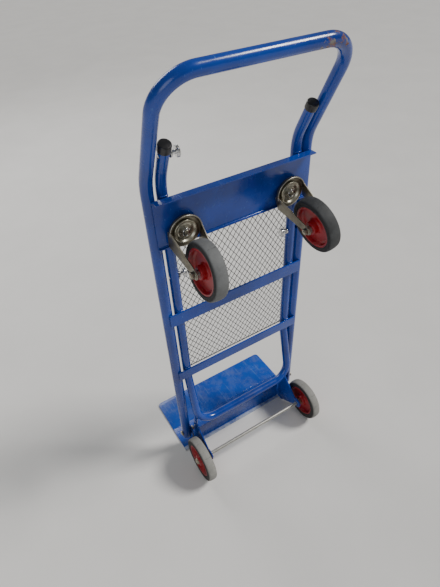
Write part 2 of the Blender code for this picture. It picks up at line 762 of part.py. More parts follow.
def castor(side, sign, parts, tools):
    """One castor, built about its king bolt; local -Y leads away from the plate, -Z is the trail."""
    pivot = bpy.data.objects.new(f"castor_{side}_swivel", None)
    parts.objects.link(pivot)
    place(pivot, frame_point(sign * CASTOR_X, CASTOR_FACE_N, CASTOR_Z), (0, -CASTOR_SWIVELS[side], 0))
    outwards = (math.pi / 2, 0, 0)
    axle_n = CASTOR_HEIGHT - CASTOR_WHEEL_RADIUS

    race = washer(f"castor_race_{side}", KING_BOLT_RADIUS + GAP, RACE_RADIUS, RACE_HEIGHT, parts)
    finish(place(race, (0, -GAP, 0), outwards, pivot), ZINC)

    fork_top = RACE_HEIGHT + 2 * GAP
    castor_fork(side, fork_top, axle_n, parts, tools, pivot)

    cup_start = fork_top + FORK_THICKNESS + GAP
    bore = KING_BOLT_RADIUS + GAP
    cup_shape = [
        (bore, CUP_FLOOR),
        (CUP_RADIUS - 2 * CUP_LIP, CUP_FLOOR),
        (CUP_RADIUS - CUP_LIP, CUP_HEIGHT),
        (CUP_RADIUS, CUP_HEIGHT - CUP_LIP / 3),
        (CUP_RADIUS, 0),
        (bore, 0),
    ]
    cup = turned(f"castor_cup_{side}", cup_shape, parts, steps=CUP_SIDES, closed=True)
    finish(place(cup, (0, -cup_start, 0), outwards, pivot), ZINC)

    nut_start = cup_start + CUP_FLOOR + GAP
    nut = hex_nut(f"king_nut_{side}", KING_NUT_RADIUS, KING_BOLT_RADIUS, KING_NUT_LENGTH, parts)
    finish(place(nut, (0, -nut_start, 0), outwards, pivot), BRIGHT_STEEL)
    head_start = PLATE_THICKNESS + GAP
    length = head_start + nut_start + KING_NUT_LENGTH + THREAD_OVERHANG
    bolt = turned(f"king_bolt_{side}", bolt_profile(KING_HEAD_RADIUS, KING_BOLT_RADIUS, length), parts)
    finish(place(bolt, (0, head_start, 0), (-math.pi / 2, 0, 0), pivot), ZINC)
    castor_wheel(side, axle_n, parts, pivot)


def castor_fork(side, top, axle_n, parts, tools, pivot):
    """A pressed fork: a round crown with a skirt round its upper half, and two legs that close in."""
    fork = turned(
        f"castor_fork_{side}", crown_profile(top), parts, steps=WHEEL_SIDES, closed=True
    )
    place(fork, (0, 0, 0), (math.pi / 2, 0, 0), pivot)
    floor = top + FORK_THICKNESS + GAP
    side_length = 4 * CROWN_RADIUS
    mouth = cube(f"fork_mouth_{side}", (side_length, side_length, side_length), tools)
    place(mouth, (0, -floor - side_length / 2, -side_length / 2), (0, 0, 0), pivot)
    boolean(fork, mouth, "DIFFERENCE")
    start = top + FORK_THICKNESS / 3
    outline = [(-n, -trail) for trail, n in fork_leg_outline(start, axle_n)]
    reach = Vector((CASTOR_TRAIL, axle_n - start))
    slope = (CROWN_RADIUS - FORK_HALF_WIDTH) / reach.length_squared
    for name, leg_sign in SIDES.items():
        leg = slab(f"fork_leg_{name}_{side}", outline, FORK_THICKNESS, tools)
        leg.data.transform(ACROSS_X)
        lean = Matrix.Identity(4)
        lean[0][1] = leg_sign * slope * reach.y
        lean[0][2] = leg_sign * slope * reach.x
        lean[0][3] = leg_sign * (CROWN_RADIUS - FORK_THICKNESS / 2 + slope * reach.y * start)
        leg.data.transform(lean)
        place(leg, (0, 0, 0), (0, 0, 0), pivot)
        boolean(fork, leg, "UNION")
        pad_length = FORK_PAD_X[1] - FORK_PAD_X[0]
        pad = cylinder(f"fork_pad_{name}_{side}", FORK_PAD_RADIUS, pad_length, tools, CUP_SIDES)
        pad_x = leg_sign * sum(FORK_PAD_X) / 2
        place(pad, (pad_x, -axle_n, -CASTOR_TRAIL), (0, math.pi / 2, 0), pivot)
        boolean(fork, pad, "UNION")
    axle_bore = cylinder(f"fork_axle_bore_{side}", CASTOR_AXLE_RADIUS + GAP, 4 * FORK_HALF_WIDTH, tools)
    place(axle_bore, (0, -axle_n, -CASTOR_TRAIL), (0, math.pi / 2, 0), pivot)
    boolean(fork, axle_bore, "DIFFERENCE")
    return finish(fork, ZINC)


def castor_wheel(side, axle_n, parts, pivot):
    centre = Vector((0, -axle_n, -CASTOR_TRAIL))
    turn = (0, math.pi / 2, 0)
    bush_outer = CASTOR_AXLE_RADIUS + BUSH_WALL
    bush_half = FORK_PAD_X[0] - GAP
    bore = CASTOR_AXLE_RADIUS + GAP

    rim_half = CASTOR_TYRE_HALF - RIM_INSET
    hub_shape = hub_profile(bush_outer + GAP, CASTOR_HUB_RADIUS - GAP, CASTOR_BOSS_HALF, rim_half)
    hub = turned(f"castor_hub_{side}", hub_shape, parts, steps=WHEEL_SIDES, closed=True)
    finish(place(hub, centre, turn, pivot), RED_PLASTIC)
    tyre_shape = tyre_profile(CASTOR_HUB_RADIUS, CASTOR_WHEEL_RADIUS, CASTOR_TYRE_HALF)
    tyre = turned(f"castor_tyre_{side}", tyre_shape, parts, steps=WHEEL_SIDES, closed=True)
    finish(place(tyre, centre, turn, pivot), BLACK_RUBBER)
    bush = washer(f"castor_bush_{side}", bore, bush_outer, 2 * bush_half, parts)
    finish(place(bush, centre - Vector((bush_half, 0, 0)), turn, pivot), BRIGHT_STEEL)

    head_start = FORK_PAD_X[1] + GAP
    length = 2 * head_start + CASTOR_NUT_LENGTH + THREAD_OVERHANG
    bolt_shape = bolt_profile(CASTOR_HEAD_RADIUS, CASTOR_AXLE_RADIUS, length)
    bolt = turned(f"castor_axle_{side}", bolt_shape, parts)
    finish(place(bolt, centre + Vector((head_start, 0, 0)), turn, pivot), ZINC)
    nut_name = f"castor_axle_nut_{side}"
    nut = hex_nut(nut_name, SMALL_NUT_RADIUS, CASTOR_AXLE_RADIUS, CASTOR_NUT_LENGTH, parts)
    nut_place = centre - Vector((head_start + CASTOR_NUT_LENGTH, 0, 0))
    finish(place(nut, nut_place, turn, pivot), ZINC)


def lock_pins(parts):
    """Spring plungers, drawn back so that the handle is free."""
    tube_face = DECK_X - DECK_TUBE_RADIUS - GAP
    housing_end = tube_face - LOCK_HOUSING_LENGTH
    tip_x = HANDLE_X - HANDLE_RADIUS + HANDLE_WALL + LOCK_ENGAGEMENT - LOCK_TRAVEL
    knob_face = housing_end - LOCK_TRAVEL - GAP
    housing_shape = [
        (LOCK_PIN_RADIUS + 2 * GAP, LOCK_HOUSING_LENGTH),
        (LOCK_HOUSING_RADIUS, LOCK_HOUSING_LENGTH),
        (LOCK_HOUSING_RADIUS, LOCK_EDGE),
        (LOCK_HOUSING_RADIUS - LOCK_EDGE, 0),
        (LOCK_PIN_RADIUS + 2 * GAP, 0),
    ]
    shank = tip_x - knob_face
    knob_back = -LOCK_KNOB_LENGTH
    pin_shape = [
        (0, shank),
        (LOCK_PIN_RADIUS - LOCK_EDGE, shank),
        (LOCK_PIN_RADIUS, shank - LOCK_EDGE),
        (LOCK_PIN_RADIUS, 0),
        (LOCK_KNOB_RADIUS - LOCK_EDGE, 0),
        (LOCK_KNOB_RADIUS, -LOCK_EDGE),
        (LOCK_KNOB_RADIUS, knob_back + LOCK_EDGE),
        (LOCK_KNOB_RADIUS - 2 * LOCK_EDGE, knob_back),
        (0, knob_back),
    ]
    for name, sign, n, z in lock_places():
        turn = (0, sign * math.pi / 2, 0)
        housing = turned(f"lock_housing_{name}", housing_shape, parts, closed=True)
        finish(place(housing, frame_point(sign * housing_end, n, z), turn), BRIGHT_STEEL)
        pin = turned(f"lock_pin_{name}", pin_shape, parts)
        finish(place(pin, frame_point(sign * knob_face, n, z), turn), BRIGHT_STEEL)


def main():
    clear_scene()
    parts = new_collection("convertible_hand_truck")
    tools = new_collection("cutters")
    handle(parts, tools)
    deck_tube(parts, tools)
    end_caps(parts)
    castor_plate(parts, tools)
    crossbars(parts)
    deck_mesh(parts)
    toe_plate(parts)
    heel_angle(parts, tools)
    pivots(parts, tools)
    axle_brackets(parts, tools)
    fixed_wheels(parts)
    for side, sign in SIDES.items():
        castor(side, sign, parts, tools)
    lock_pins(parts)


main()
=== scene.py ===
"""Looks of the convertible hand truck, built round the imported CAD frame."""
import json
import math
import random

import bmesh
import bpy
from mathutils import Matrix, Vector


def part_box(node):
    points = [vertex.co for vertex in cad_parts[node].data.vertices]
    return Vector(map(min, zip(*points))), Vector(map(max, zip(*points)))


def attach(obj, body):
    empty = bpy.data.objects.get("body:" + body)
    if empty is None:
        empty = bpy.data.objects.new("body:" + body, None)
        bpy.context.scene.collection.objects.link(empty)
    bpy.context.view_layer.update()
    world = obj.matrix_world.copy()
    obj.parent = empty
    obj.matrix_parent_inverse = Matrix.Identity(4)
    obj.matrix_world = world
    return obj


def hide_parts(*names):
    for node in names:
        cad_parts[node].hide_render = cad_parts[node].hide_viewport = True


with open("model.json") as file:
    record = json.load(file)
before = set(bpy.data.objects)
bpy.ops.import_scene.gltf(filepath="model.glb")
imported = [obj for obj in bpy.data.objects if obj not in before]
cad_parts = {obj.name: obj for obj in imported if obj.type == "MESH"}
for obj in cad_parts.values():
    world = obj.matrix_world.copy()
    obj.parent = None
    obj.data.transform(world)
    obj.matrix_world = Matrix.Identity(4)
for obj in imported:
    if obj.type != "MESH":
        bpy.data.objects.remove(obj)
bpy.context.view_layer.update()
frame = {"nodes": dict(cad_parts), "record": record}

SIDES = {"left": -1, "right": 1}
GAP = 0.0003
PI = math.pi

IDENTITY = Matrix.Identity(4)
# Turns for pieces made about Z: their top then points along +X or towards the operator.
Z_TO_X = Matrix.Rotation(PI / 2, 4, "Y")
Z_TO_OPERATOR = Matrix.Rotation(PI / 2, 4, "X")
# Stands a flat outline up across X, its first axis along Y and its second along Z.
ACROSS_X = Matrix(((0, 0, 1, 0), (1, 0, 0, 0), (0, 1, 0, 0), (0, 0, 0, 1)))


# ---------------- where things are

def low(node):
    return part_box(node)[0]


def high(node):
    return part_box(node)[1]


def middle(node):
    a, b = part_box(node)
    return (a + b) / 2


def span_x(node):
    """How far the near and far ends of a node are from the truck's middle plane."""
    near, far = sorted(abs(corner.x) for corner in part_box(node))
    return near, far


HANDLE_R = 0.0127
HANDLE_X = high("handle_tube").x - HANDLE_R
DECK_R = 0.0111
DECK_X = high("deck_tube").x - DECK_R
# The plane of the handle's legs.
HANDLE_Y = high("crossbar_upper").y + HANDLE_R + GAP
DECK_N = HANDLE_R - DECK_R
KINK_Z = 0.896
KINK = math.radians(27)
# The grip bar lies a hair below the CAD tube, whose highest facet cuts just under the true circle.
GRIP_REACH = 0.22795
DECK_END_REACH = 0.090

PIVOT_Z = middle("pivot_bolt_left").z
AXLE_N = HANDLE_Y - middle("axle").y
AXLE_Z = middle("axle").z
LOCK_NAMES = sorted(n[len("lock_pin_"):] for n in frame["nodes"] if n.startswith("lock_pin_"))

PIN_R = 0.004
PIN_HOLE_R = 0.0046
M8_R = 0.004
M8_HOLE_R = 0.0043
AXLE_R = 0.005
M10_R = 0.005
M10_HOLE_R = 0.0053


def frame_point(x, n, z):
    """A point of the frame: n is the distance from the handle's plane towards the operator."""
    return Vector((x, HANDLE_Y - n, z))


def kinked(x, n, reach):
    """A point of the frame's leaning top, that far along it from the kink."""
    return frame_point(x, n + reach * math.sin(KINK), KINK_Z + reach * math.cos(KINK))


def along_x(x, n, z, sign=1):
    """Where a piece made about Z lies along X, its top towards the given side."""
    return Matrix.Translation(frame_point(x, n, z)) @ Matrix.Rotation(sign * PI / 2, 4, "Y")


def outwards(node):
    """Where a piece made about Z starts at a node's near end and points away from the middle."""
    at = middle(node)
    sign = math.copysign(1, at.x)
    near, _ = span_x(node)
    return Matrix.Translation((sign * near, at.y, at.z)) @ Matrix.Rotation(sign * PI / 2, 4, "Y")


def pin_place(name, x):
    """A point on a lock pin's axis, that far from the truck's middle on the pin's side."""
    pin = middle(f"lock_pin_{name}")
    return Matrix.Translation((math.copysign(x, pin.x), pin.y, pin.z)) @ Z_TO_X


# ---------------- mesh helpers

def add(name, mesh, body, nodes, look, smooth=30, matrix=None):
    """Links a piece, and says what it rides on, stands for and takes its finish from."""
    mesh.name = name
    obj = bpy.data.objects.new(name, mesh)
    bpy.context.scene.collection.objects.link(obj)
    if matrix is not None:
        obj.matrix_world = matrix
    mesh.shade_smooth()
    mesh.set_sharp_from_angle(angle=math.radians(smooth))
    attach(obj, body)
    if nodes:
        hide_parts(*nodes)
    mesh.materials.clear()
    mesh.materials.append(look)


def part(node, suffix, mesh, body, look, matrix=None, smooth=30):
    """A piece that stands for one node and is named after it."""
    add(f"{node}_{suffix}", mesh, body, [node], LOOKS[look], smooth, matrix)


def mesh_of(work):
    """A mesh from a bmesh, its faces turned outwards."""
    mesh = bpy.data.meshes.new("mesh")
    bmesh.ops.recalc_face_normals(work, faces=work.faces)
    work.to_mesh(mesh)
    work.free()
    return mesh


def fillet(corners, radii, step=math.radians(4)):
    """A polyline through the corners with each inner corner turned into an arc."""
    path = [corners[0]]
    for i, radius in enumerate(radii, start=1):
        before = (corners[i - 1] - corners[i]).normalized()
        after = (corners[i + 1] - corners[i]).normalized()
        half = before.angle(after) / 2
        centre = corners[i] + (before + after).normalized() * (radius / math.sin(half))
        first = corners[i] + before * (radius / math.tan(half)) - centre
        last = corners[i] + after * (radius / math.tan(half)) - centre
        turn = first.angle(last)
        steps = max(2, math.ceil(turn / step))
        for k in range(steps + 1):
            share = k / steps
            spoke = first * math.sin((1 - share) * turn) + last * math.sin(share * turn)
            path.append(centre + spoke / math.sin(turn))
    path.append(corners[-1])
    return path


def ring_of(work, centre, across, other, radius, sides):
    """A round ring of vertices in the plane of two directions."""
    ring = []
    for k in range(sides):
        angle = 2 * PI * k / sides
        spoke = across * (radius * math.cos(angle)) + other * (radius * math.sin(angle))
        ring.append(work.verts.new(centre + spoke))
    return ring


def bridge(work, a, b):
    """A band of faces between two rings of vertices."""
    for k in range(len(a)):
        j = (k + 1) % len(a)
        work.faces.new((a[k], a[j], b[j], b[k]))


def sweep(work, path, radius, sides=32, wall=0.0, depth=0.03, radii=None):
    """A round bar along a path. With a wall, its ends are open and lead into a bore of that depth."""
    last = len(path) - 1
    tangents = [(path[min(last, i + 1)] - path[max(0, i - 1)]).normalized() for i in range(last + 1)]
    across = tangents[0].orthogonal().normalized()
    rings = []
    for i, point in enumerate(path):
        across = (across - tangents[i] * across.dot(tangents[i])).normalized()
        other = tangents[i].cross(across)
        ring = ring_of(work, point, across, other, radii[i] if radii else radius, sides)
        rings.append((ring, across, other))
    for i in range(last):
        bridge(work, rings[i][0], rings[i + 1][0])
    for i, sign in ((0, 1), (last, -1)):
        ring, across, other = rings[i]
        if wall:
            for inset, inwards in ((0.3 * wall, 0.0), (wall, 0.0), (1.3 * wall, depth)):
                centre = path[i] + tangents[i] * (sign * inwards)
                fresh = ring_of(work, centre, across, other, radius - inset, sides)
                bridge(work, ring, fresh)
                ring = fresh
        work.faces.new(ring)
    return work


def bar(path, radius, sides, **more):
    return mesh_of(sweep(bmesh.new(), path, radius, sides, **more))


def softened(profile, radius, closed):
    """A profile of (radius, height) with its corners rounded off by curves of three steps."""
    points = [Vector((r, h)) for r, h in profile]
    count = len(points)
    out = []
    for i, point in enumerate(points):
        if not closed and i in (0, count - 1):
            out.append(point)
            continue
        before = points[i - 1] - point
        after = points[(i + 1) % count] - point
        if before.length < 1e-7 or after.length < 1e-7:
            continue
        cut = min(radius, 0.4 * before.length, 0.4 * after.length)
        a = point + before.normalized() * cut
        b = point + after.normalized() * cut
        if abs(before.normalized().dot(after.normalized())) > 0.995:
            out.append(point)
            continue
        for k in range(4):
            share = k / 3
            out.append(a * (1 - share) ** 2 + point * (2 * share * (1 - share)) + b * share ** 2)
    return [(p.x, p.y) for p in out]


def turned(profile, steps=72, closed=False, round_off=0.0005):
    """A profile of (radius, height) turned about Z, its corners softened."""
    if round_off:
        profile = softened(profile, round_off, closed)
    work = bmesh.new()
    rings = []
    for radius, height in profile:
        centre = Vector((0, 0, height))
        if radius < 1e-6:
            rings.append([work.verts.new(centre)])
        else:
            rings.append(ring_of(work, centre, Vector((1, 0, 0)), Vector((0, 1, 0)), radius, steps))
    pairs = list(zip(rings, rings[1:]))
    if closed:
        pairs.append((rings[-1], rings[0]))
    for a, b in pairs:
        if len(a) == len(b):
            bridge(work, a, b)
            continue
        for k in range(steps):
            j = (k + 1) % steps
            work.faces.new((a[0], b[j], b[k]) if len(a) == 1 else (a[k], a[j], b[0]))
    return mesh_of(work)


def ring_mesh(bore, radius, low_end, high_end, round_off=0.0004):
    """A plain bush, washer or collar about Z."""
    profile = [(bore, high_end), (radius, high_end), (radius, low_end), (bore, low_end)]
    return turned(profile, 48, True, round_off)


def mirrored(upper):
    """A profile of (radius, height) followed by its mirror image below."""
    return upper + [(radius, -height) for radius, height in reversed(upper)]


def prism(outline, thickness, bevel, segments=2, holes=()):
    """A flat outline in XY extruded evenly about z = 0, with its edges softened."""
    curve = bpy.data.curves.new("outline", "CURVE")
    curve.dimensions = "2D"
    curve.fill_mode = "BOTH"
    curve.extrude = thickness / 2 - bevel
    curve.bevel_depth = bevel
    curve.bevel_resolution = segments
    curve.offset = -bevel
    for edge in (outline, *holes):
        spline = curve.splines.new("POLY")
        spline.points.add(len(edge) - 1)
        for point, (x, y) in zip(spline.points, edge):
            point.co = (x, y, 0, 1)
        spline.use_cyclic_u = True
    obj = bpy.data.objects.new("outline", curve)
    bpy.context.scene.collection.objects.link(obj)
    graph = bpy.context.evaluated_depsgraph_get()
    mesh = bpy.data.meshes.new_from_object(obj.evaluated_get(graph))
    bpy.data.objects.remove(obj, do_unlink=True)
    bpy.data.curves.remove(curve)
    work = bmesh.new()
    work.from_mesh(mesh)
    bmesh.ops.remove_doubles(work, verts=work.verts, dist=0.00001)
    bpy.data.meshes.remove(mesh)
    return mesh_of(work)


def arc(cx, cy, radius, start, end, steps):
    """Points of an arc between two angles in degrees."""
    points = []
    for i in range(steps + 1):
        angle = math.radians(start + (end - start) * i / steps)
        points.append((cx + radius * math.cos(angle), cy + radius * math.sin(angle)))
    return points


def circle(cx, cy, radius):
    """A hole's outline in 24 points."""
    return arc(cx, cy, radius, 0, 345, 23)


def round_topped(x0, y0, x1, y1, radius, steps):
    """A rectangle's outline with its two upper corners rounded."""
    points = [(x0, y0), (x1, y0)] + arc(x1 - radius, y1 - radius, radius, 0, 90, steps)
    return points + arc(x0 + radius, y1 - radius, radius, 90, 180, steps)


def rounded(x0, y0, x1, y1, radius, steps):
    """A rectangle's outline with four round corners."""
    points = arc(x1 - radius, y1 - radius, radius, 0, 90, steps)
    points += arc(x0 + radius, y1 - radius, radius, 90, 180, steps)
    points += arc(x0 + radius, y0 + radius, radius, 180, 270, steps)
    return points + arc(x1 - radius, y0 + radius, radius, 270, 360, steps)


def merge(meshes):
    """Several meshes in one."""
    work = bmesh.new()
    for mesh in meshes:
        work.from_mesh(mesh)
        bpy.data.meshes.remove(mesh)
    return mesh_of(work)


def combine(base, tools):
    """The first mesh with each tool joined to it or cut from it: (mesh, operation, matrix)."""
    objects = []
    for mesh, _, matrix in [(base, None, IDENTITY)] + tools:
        obj = bpy.data.objects.new("tool", mesh)
        bpy.context.scene.collection.objects.link(obj)
        obj.matrix_world = matrix
        objects.append(obj)
    for obj, (_, operation, _) in zip(objects[1:], tools):
        modifier = objects[0].modifiers.new(operation, "BOOLEAN")
        modifier.operation = operation
        modifier.solver = "EXACT"
        modifier.object = obj
    bpy.context.view_layer.update()
    graph = bpy.context.evaluated_depsgraph_get()
    mesh = bpy.data.meshes.new_from_object(objects[0].evaluated_get(graph))
    for obj in objects:
        data = obj.data
        bpy.data.objects.remove(obj, do_unlink=True)
        bpy.data.meshes.remove(data)
    work = bmesh.new()
    work.from_mesh(mesh)
    bmesh.ops.remove_doubles(work, verts=work.verts, dist=0.00002)
    bpy.data.meshes.remove(mesh)
    return mesh_of(work)


def drilled(mesh, holes):
    """A mesh with round holes: the matrix of each hole's middle, its radius and its length."""
    work = bmesh.new()
    for matrix, radius, length in holes:
        bmesh.ops.create_cone(
            work, cap_ends=True, segments=32, radius1=radius, radius2=radius, depth=length, matrix=matrix
        )
    return combine(mesh, [(mesh_of(work), "DIFFERENCE", IDENTITY)])


# ---------------- materials

class Look:
    """A node material in the making."""

    def __init__(self, name, metallic=0.0, coat=0.0):
        self.material = bpy.data.materials.new(name)
        self.material.use_nodes = True
        self.tree = self.material.node_tree
        self.shader = self.tree.nodes["Principled BSDF"]
        self.shader.inputs["Metallic"].default_value = metallic
        if coat:
            self.shader.inputs["Coat Weight"].default_value = coat
            self.shader.inputs["Coat Roughness"].default_value = 0.12
        self.coords = self.node("ShaderNodeTexCoord").outputs["Object"]

    def node(self, kind, **values):
        node = self.tree.nodes.new(kind)
        for key, value in values.items():
            setattr(node, key, value)
        return node

    def link(self, source, socket):
        """Joins an output to a socket, or sets the socket to a number or a colour."""
        if hasattr(source, "links"):
            self.tree.links.new(source, socket)
        elif isinstance(source, tuple) and len(source) == 3:
            socket.default_value = (*source, 1)
        else:
            socket.default_value = source

    def stretch(self, scale, turn=(0, 0, 0)):
        node = self.node("ShaderNodeMapping")
        node.inputs["Scale"].default_value = scale
        node.inputs["Rotation"].default_value = turn
        self.link(self.coords, node.inputs["Vector"])
        return node.outputs["Vector"]

    def noise(self, scale, detail=4, rough=0.55, coords=None, distortion=0.0):
        node = self.node("ShaderNodeTexNoise")
        node.inputs["Scale"].default_value = scale
        node.inputs["Detail"].default_value = detail
        node.inputs["Roughness"].default_value = rough
        node.inputs["Distortion"].default_value = distortion
        self.link(coords or self.coords, node.inputs["Vector"])
        return node.outputs["Fac"]

    def ramp(self, value, low_at, high_at, low_out=0.0, high_out=1.0):
        """A value stretched between two levels and clamped beyond them."""
        node = self.node("ShaderNodeMapRange", clamp=True)
        self.link(value, node.inputs["Value"])
        node.inputs["From Min"].default_value = low_at
        node.inputs["From Max"].default_value = high_at
        node.inputs["To Min"].default_value = low_out
        node.inputs["To Max"].default_value = high_out
        return node.outputs["Result"]

    def math(self, operation, a, b=0.0):
        node = self.node("ShaderNodeMath", operation=operation)
        self.link(a, node.inputs[0])
        self.link(b, node.inputs[1])
        return node.outputs[0]

    def times(self, a, b):
        return self.math("MULTIPLY", a, b)

    def plus(self, base, value, amount):
        """A base with a share of a value added."""
        return self.math("ADD", base, self.times(value, amount))

    def mix(self, factor, a, b):
        node = self.node("ShaderNodeMix", data_type="RGBA")
        self.link(factor, node.inputs["Factor"])
        self.link(a, node.inputs[6])
        self.link(b, node.inputs[7])
        return node.outputs[2]

    def near(self, centre, reach):
        """1 close to a point of the piece and 0 beyond its reach."""
        node = self.node("ShaderNodeVectorMath", operation="DISTANCE")
        self.link(self.coords, node.inputs[0])
        node.inputs[1].default_value = centre
        return self.ramp(node.outputs["Value"], 0.35 * reach, reach, 1.0, 0.0)

    def axis(self, name, vector=None):
        node = self.node("ShaderNodeSeparateXYZ")
        self.link(vector or self.coords, node.inputs[0])
        return node.outputs[name]

    def up_facing(self):
        """1 on faces that look up and 0 on upright ones."""
        normal = self.tree.nodes["Texture Coordinate"].outputs["Normal"]
        return self.ramp(self.axis("Z", normal), 0.35, 0.95)

    def radius(self):
        """Distance from the piece's own Z axis."""
        flat = self.node("ShaderNodeVectorMath", operation="MULTIPLY")
        self.link(self.coords, flat.inputs[0])
        flat.inputs[1].default_value = (1, 1, 0)
        node = self.node("ShaderNodeVectorMath", operation="LENGTH")
        self.link(flat.outputs[0], node.inputs[0])
        return node.outputs["Value"]

    def edges(self, width):
        """1 on sharp edges and 0 on flat faces."""
        bevel = self.node("ShaderNodeBevel", samples=4)
        bevel.inputs["Radius"].default_value = width
        plain = self.node("ShaderNodeNewGeometry")
        dot = self.node("ShaderNodeVectorMath", operation="DOT_PRODUCT")
        self.link(bevel.outputs[0], dot.inputs[0])
        self.link(plain.outputs["Normal"], dot.inputs[1])
        return self.ramp(dot.outputs["Value"], 0.80, 0.97, 1.0, 0.0)

    def finish(self, colour, roughness, height, strength, distance):
        """Joins the colour, the roughness and the bump's height to the shader."""
        self.link(colour, self.shader.inputs["Base Color"])
        self.link(roughness, self.shader.inputs["Roughness"])
        bump = self.node("ShaderNodeBump")
        bump.inputs["Strength"].default_value = strength
        bump.inputs["Distance"].default_value = distance
        self.link(height, bump.inputs["Height"])
        self.link(bump.outputs[0], self.shader.inputs["Normal"])
        return self.material


def blue_paint(name, deep, bright, wear, dust, worn_spots=(), lip=None):
    """Glossy paint with uneven depth, streaky scuffs, chips to steel and rust, and dust on top; given a
    lip, a pale band on the operator's side of the lip line that is part scrapes and part a painted sunlit
    highlight.
    """
    look = Look(name, coat=0.25)
    cloud = look.noise(6, 5, 0.6)
    colour = look.mix(look.ramp(cloud, 0.34, 0.68), deep, bright)
    streaks = look.noise(30, 6, 0.7, look.stretch((1.0, 0.25, 0.10), (0.2, 0.5, 0.7)), 0.4)
    streaks = look.ramp(streaks, 0.66 - 0.06 * wear, 0.78 - 0.06 * wear)
    fine = look.noise(240, 2, 0.5, look.stretch((1.0, 0.05, 0.4), (0.5, 0.9, 0.3)))
    fine = look.ramp(fine, 0.70 - 0.03 * wear, 0.74 - 0.03 * wear)
    streaks = look.times(streaks, 0.22 + 0.25 * wear)
    marks = look.math("MAXIMUM", streaks, look.times(fine, 0.2 + 0.25 * wear))
    colour = look.mix(marks, colour, (0.07, 0.19, 0.46))
    chips = look.noise(75, 7, 0.75)
    edge = look.edges(0.0014)
    chips = look.plus(chips, edge, 0.12)
    for spot, reach, amount in worn_spots:
        chips = look.plus(chips, look.near(spot, reach), amount)
    bare = look.ramp(chips, 0.735 - 0.02 * wear, 0.765 - 0.02 * wear)
    flakes = look.ramp(look.noise(260, 4, 0.7), 0.35, 0.7)
    rust_tone = look.mix(flakes, (0.030, 0.012, 0.008), (0.34, 0.11, 0.030))
    steel = look.ramp(look.noise(48, 3, 0.6), 0.50, 0.58)
    bare_tone = look.mix(steel, rust_tone, (0.20, 0.18, 0.16))
    colour = look.mix(bare, colour, bare_tone)
    dusty = look.times(look.up_facing(), look.ramp(look.noise(20, 6, 0.75), 0.45, 0.75, 0.0, dust))
    colour = look.mix(dusty, colour, (0.30, 0.28, 0.24))
    if lip is not None:
        # Pale band on the operator's side of the lip line: partly scrapes, partly a painted sunlit
        # highlight on the lip's top.
        patches = look.ramp(look.noise(45, 6, 0.75), 0.36, 0.56, 0.25, 0.85)
        scraped_and_sunlit = look.times(look.ramp(look.axis("Y"), lip + 0.001, lip - 0.001), patches)
        colour = look.mix(scraped_and_sunlit, colour, (0.42, 0.47, 0.55))
    rough = look.ramp(look.noise(30, 5, 0.65), 0.3, 0.75, 0.16, 0.34)
    for layer, amount in ((marks, 0.25), (bare, 0.4), (dusty, 0.6)):
        rough = look.plus(rough, layer, amount)
    height = look.math("SUBTRACT", look.times(look.noise(60, 2, 0.5), 0.12), bare)
    return look.finish(colour, rough, height, 0.2, 0.0005)


def metal(name, tint, rough, dull, stain, stains, rim=None):
    """Plated or bare metal with uneven gloss, fine marks and some staining; given a rim colour, edges
    painted bright, part rubbed metal and part painted highlight.
    """
    look = Look(name, metallic=1.0)
    cloud = look.noise(60, 5, 0.65)
    colour = look.mix(look.ramp(cloud, 0.3, 0.75), tint, tuple(0.6 * c for c in tint))
    stained = look.ramp(look.noise(34, 6, 0.75), 0.54, 0.74, 0.0, stains)
    colour = look.mix(stained, colour, stain)
    roughness = look.ramp(cloud, 0.25, 0.8, rough, rough + dull)
    roughness = look.plus(roughness, stained, 0.5)
    if rim:
        # Edges painted bright: part rubbed bare metal, part a painted highlight along the rims.
        colour = look.mix(look.edges(0.0016), colour, rim)
    fine = look.noise(700, 2, 0.5, look.stretch((1.0, 1.0, 0.05)))
    height = look.plus(look.times(fine, 0.6), cloud, 0.4)
    return look.finish(colour, roughness, height, 0.12, 0.0004)


def plastic(name, deep, bright, rough, dust):
    """Moulded plastic: faint flow marks, scuffed edges and dust in the dish."""
    look = Look(name)
    cloud = look.noise(28, 5, 0.6)
    colour = look.mix(look.ramp(cloud, 0.3, 0.75), deep, bright)
    edge = look.times(look.edges(0.001), look.ramp(look.noise(130, 4, 0.7), 0.35, 0.6))
    colour = look.mix(look.times(edge, 0.6), colour, tuple(0.45 + 0.5 * c for c in bright))
    dusty = look.ramp(look.noise(46, 6, 0.75), 0.48, 0.78, 0.0, dust)
    colour = look.mix(dusty, colour, (0.30, 0.25, 0.21))
    roughness = look.ramp(cloud, 0.3, 0.8, rough, rough + 0.16)
    roughness = look.plus(roughness, dusty, 0.7)
    return look.finish(colour, roughness, look.noise(420, 3, 0.6), 0.06, 0.0004)


def rubber(name, tread, side, outer, mottle):
    """A tyre: its tread worn pale and dusty, its sides darker, with fine scratches across."""
    look = Look(name)
    on_tread = look.ramp(look.radius(), outer - TREAD_BAND, outer - 0.35 * TREAD_BAND)
    grain = look.noise(210, 6, 0.7)
    patches = look.noise(38, 6, 0.7)
    worn = look.mix(look.ramp(patches, 0.34, 0.66, 0.0, mottle), tread, tuple(0.42 * c for c in tread))
    worn = look.mix(look.ramp(grain, 0.5, 0.75, 0.0, 0.5), worn, tuple(min(1, 1.5 * c) for c in tread))
    sides = look.mix(look.ramp(patches, 0.4, 0.8, 0.0, 0.5), side, tuple(2.6 * c for c in side))
    colour = look.mix(on_tread, sides, worn)
    cuts = look.ramp(look.noise(160, 3, 0.6, look.stretch((1.0, 1.0, 0.12))), 0.66, 0.72)
    colour = look.mix(look.times(cuts, 0.6), colour, tuple(0.3 * c for c in side))
    height = look.math("SUBTRACT", look.times(grain, 0.5), cuts)
    return look.finish(colour, look.ramp(grain, 0.3, 0.8, 0.62, 0.92), height, 0.35, 0.0006)


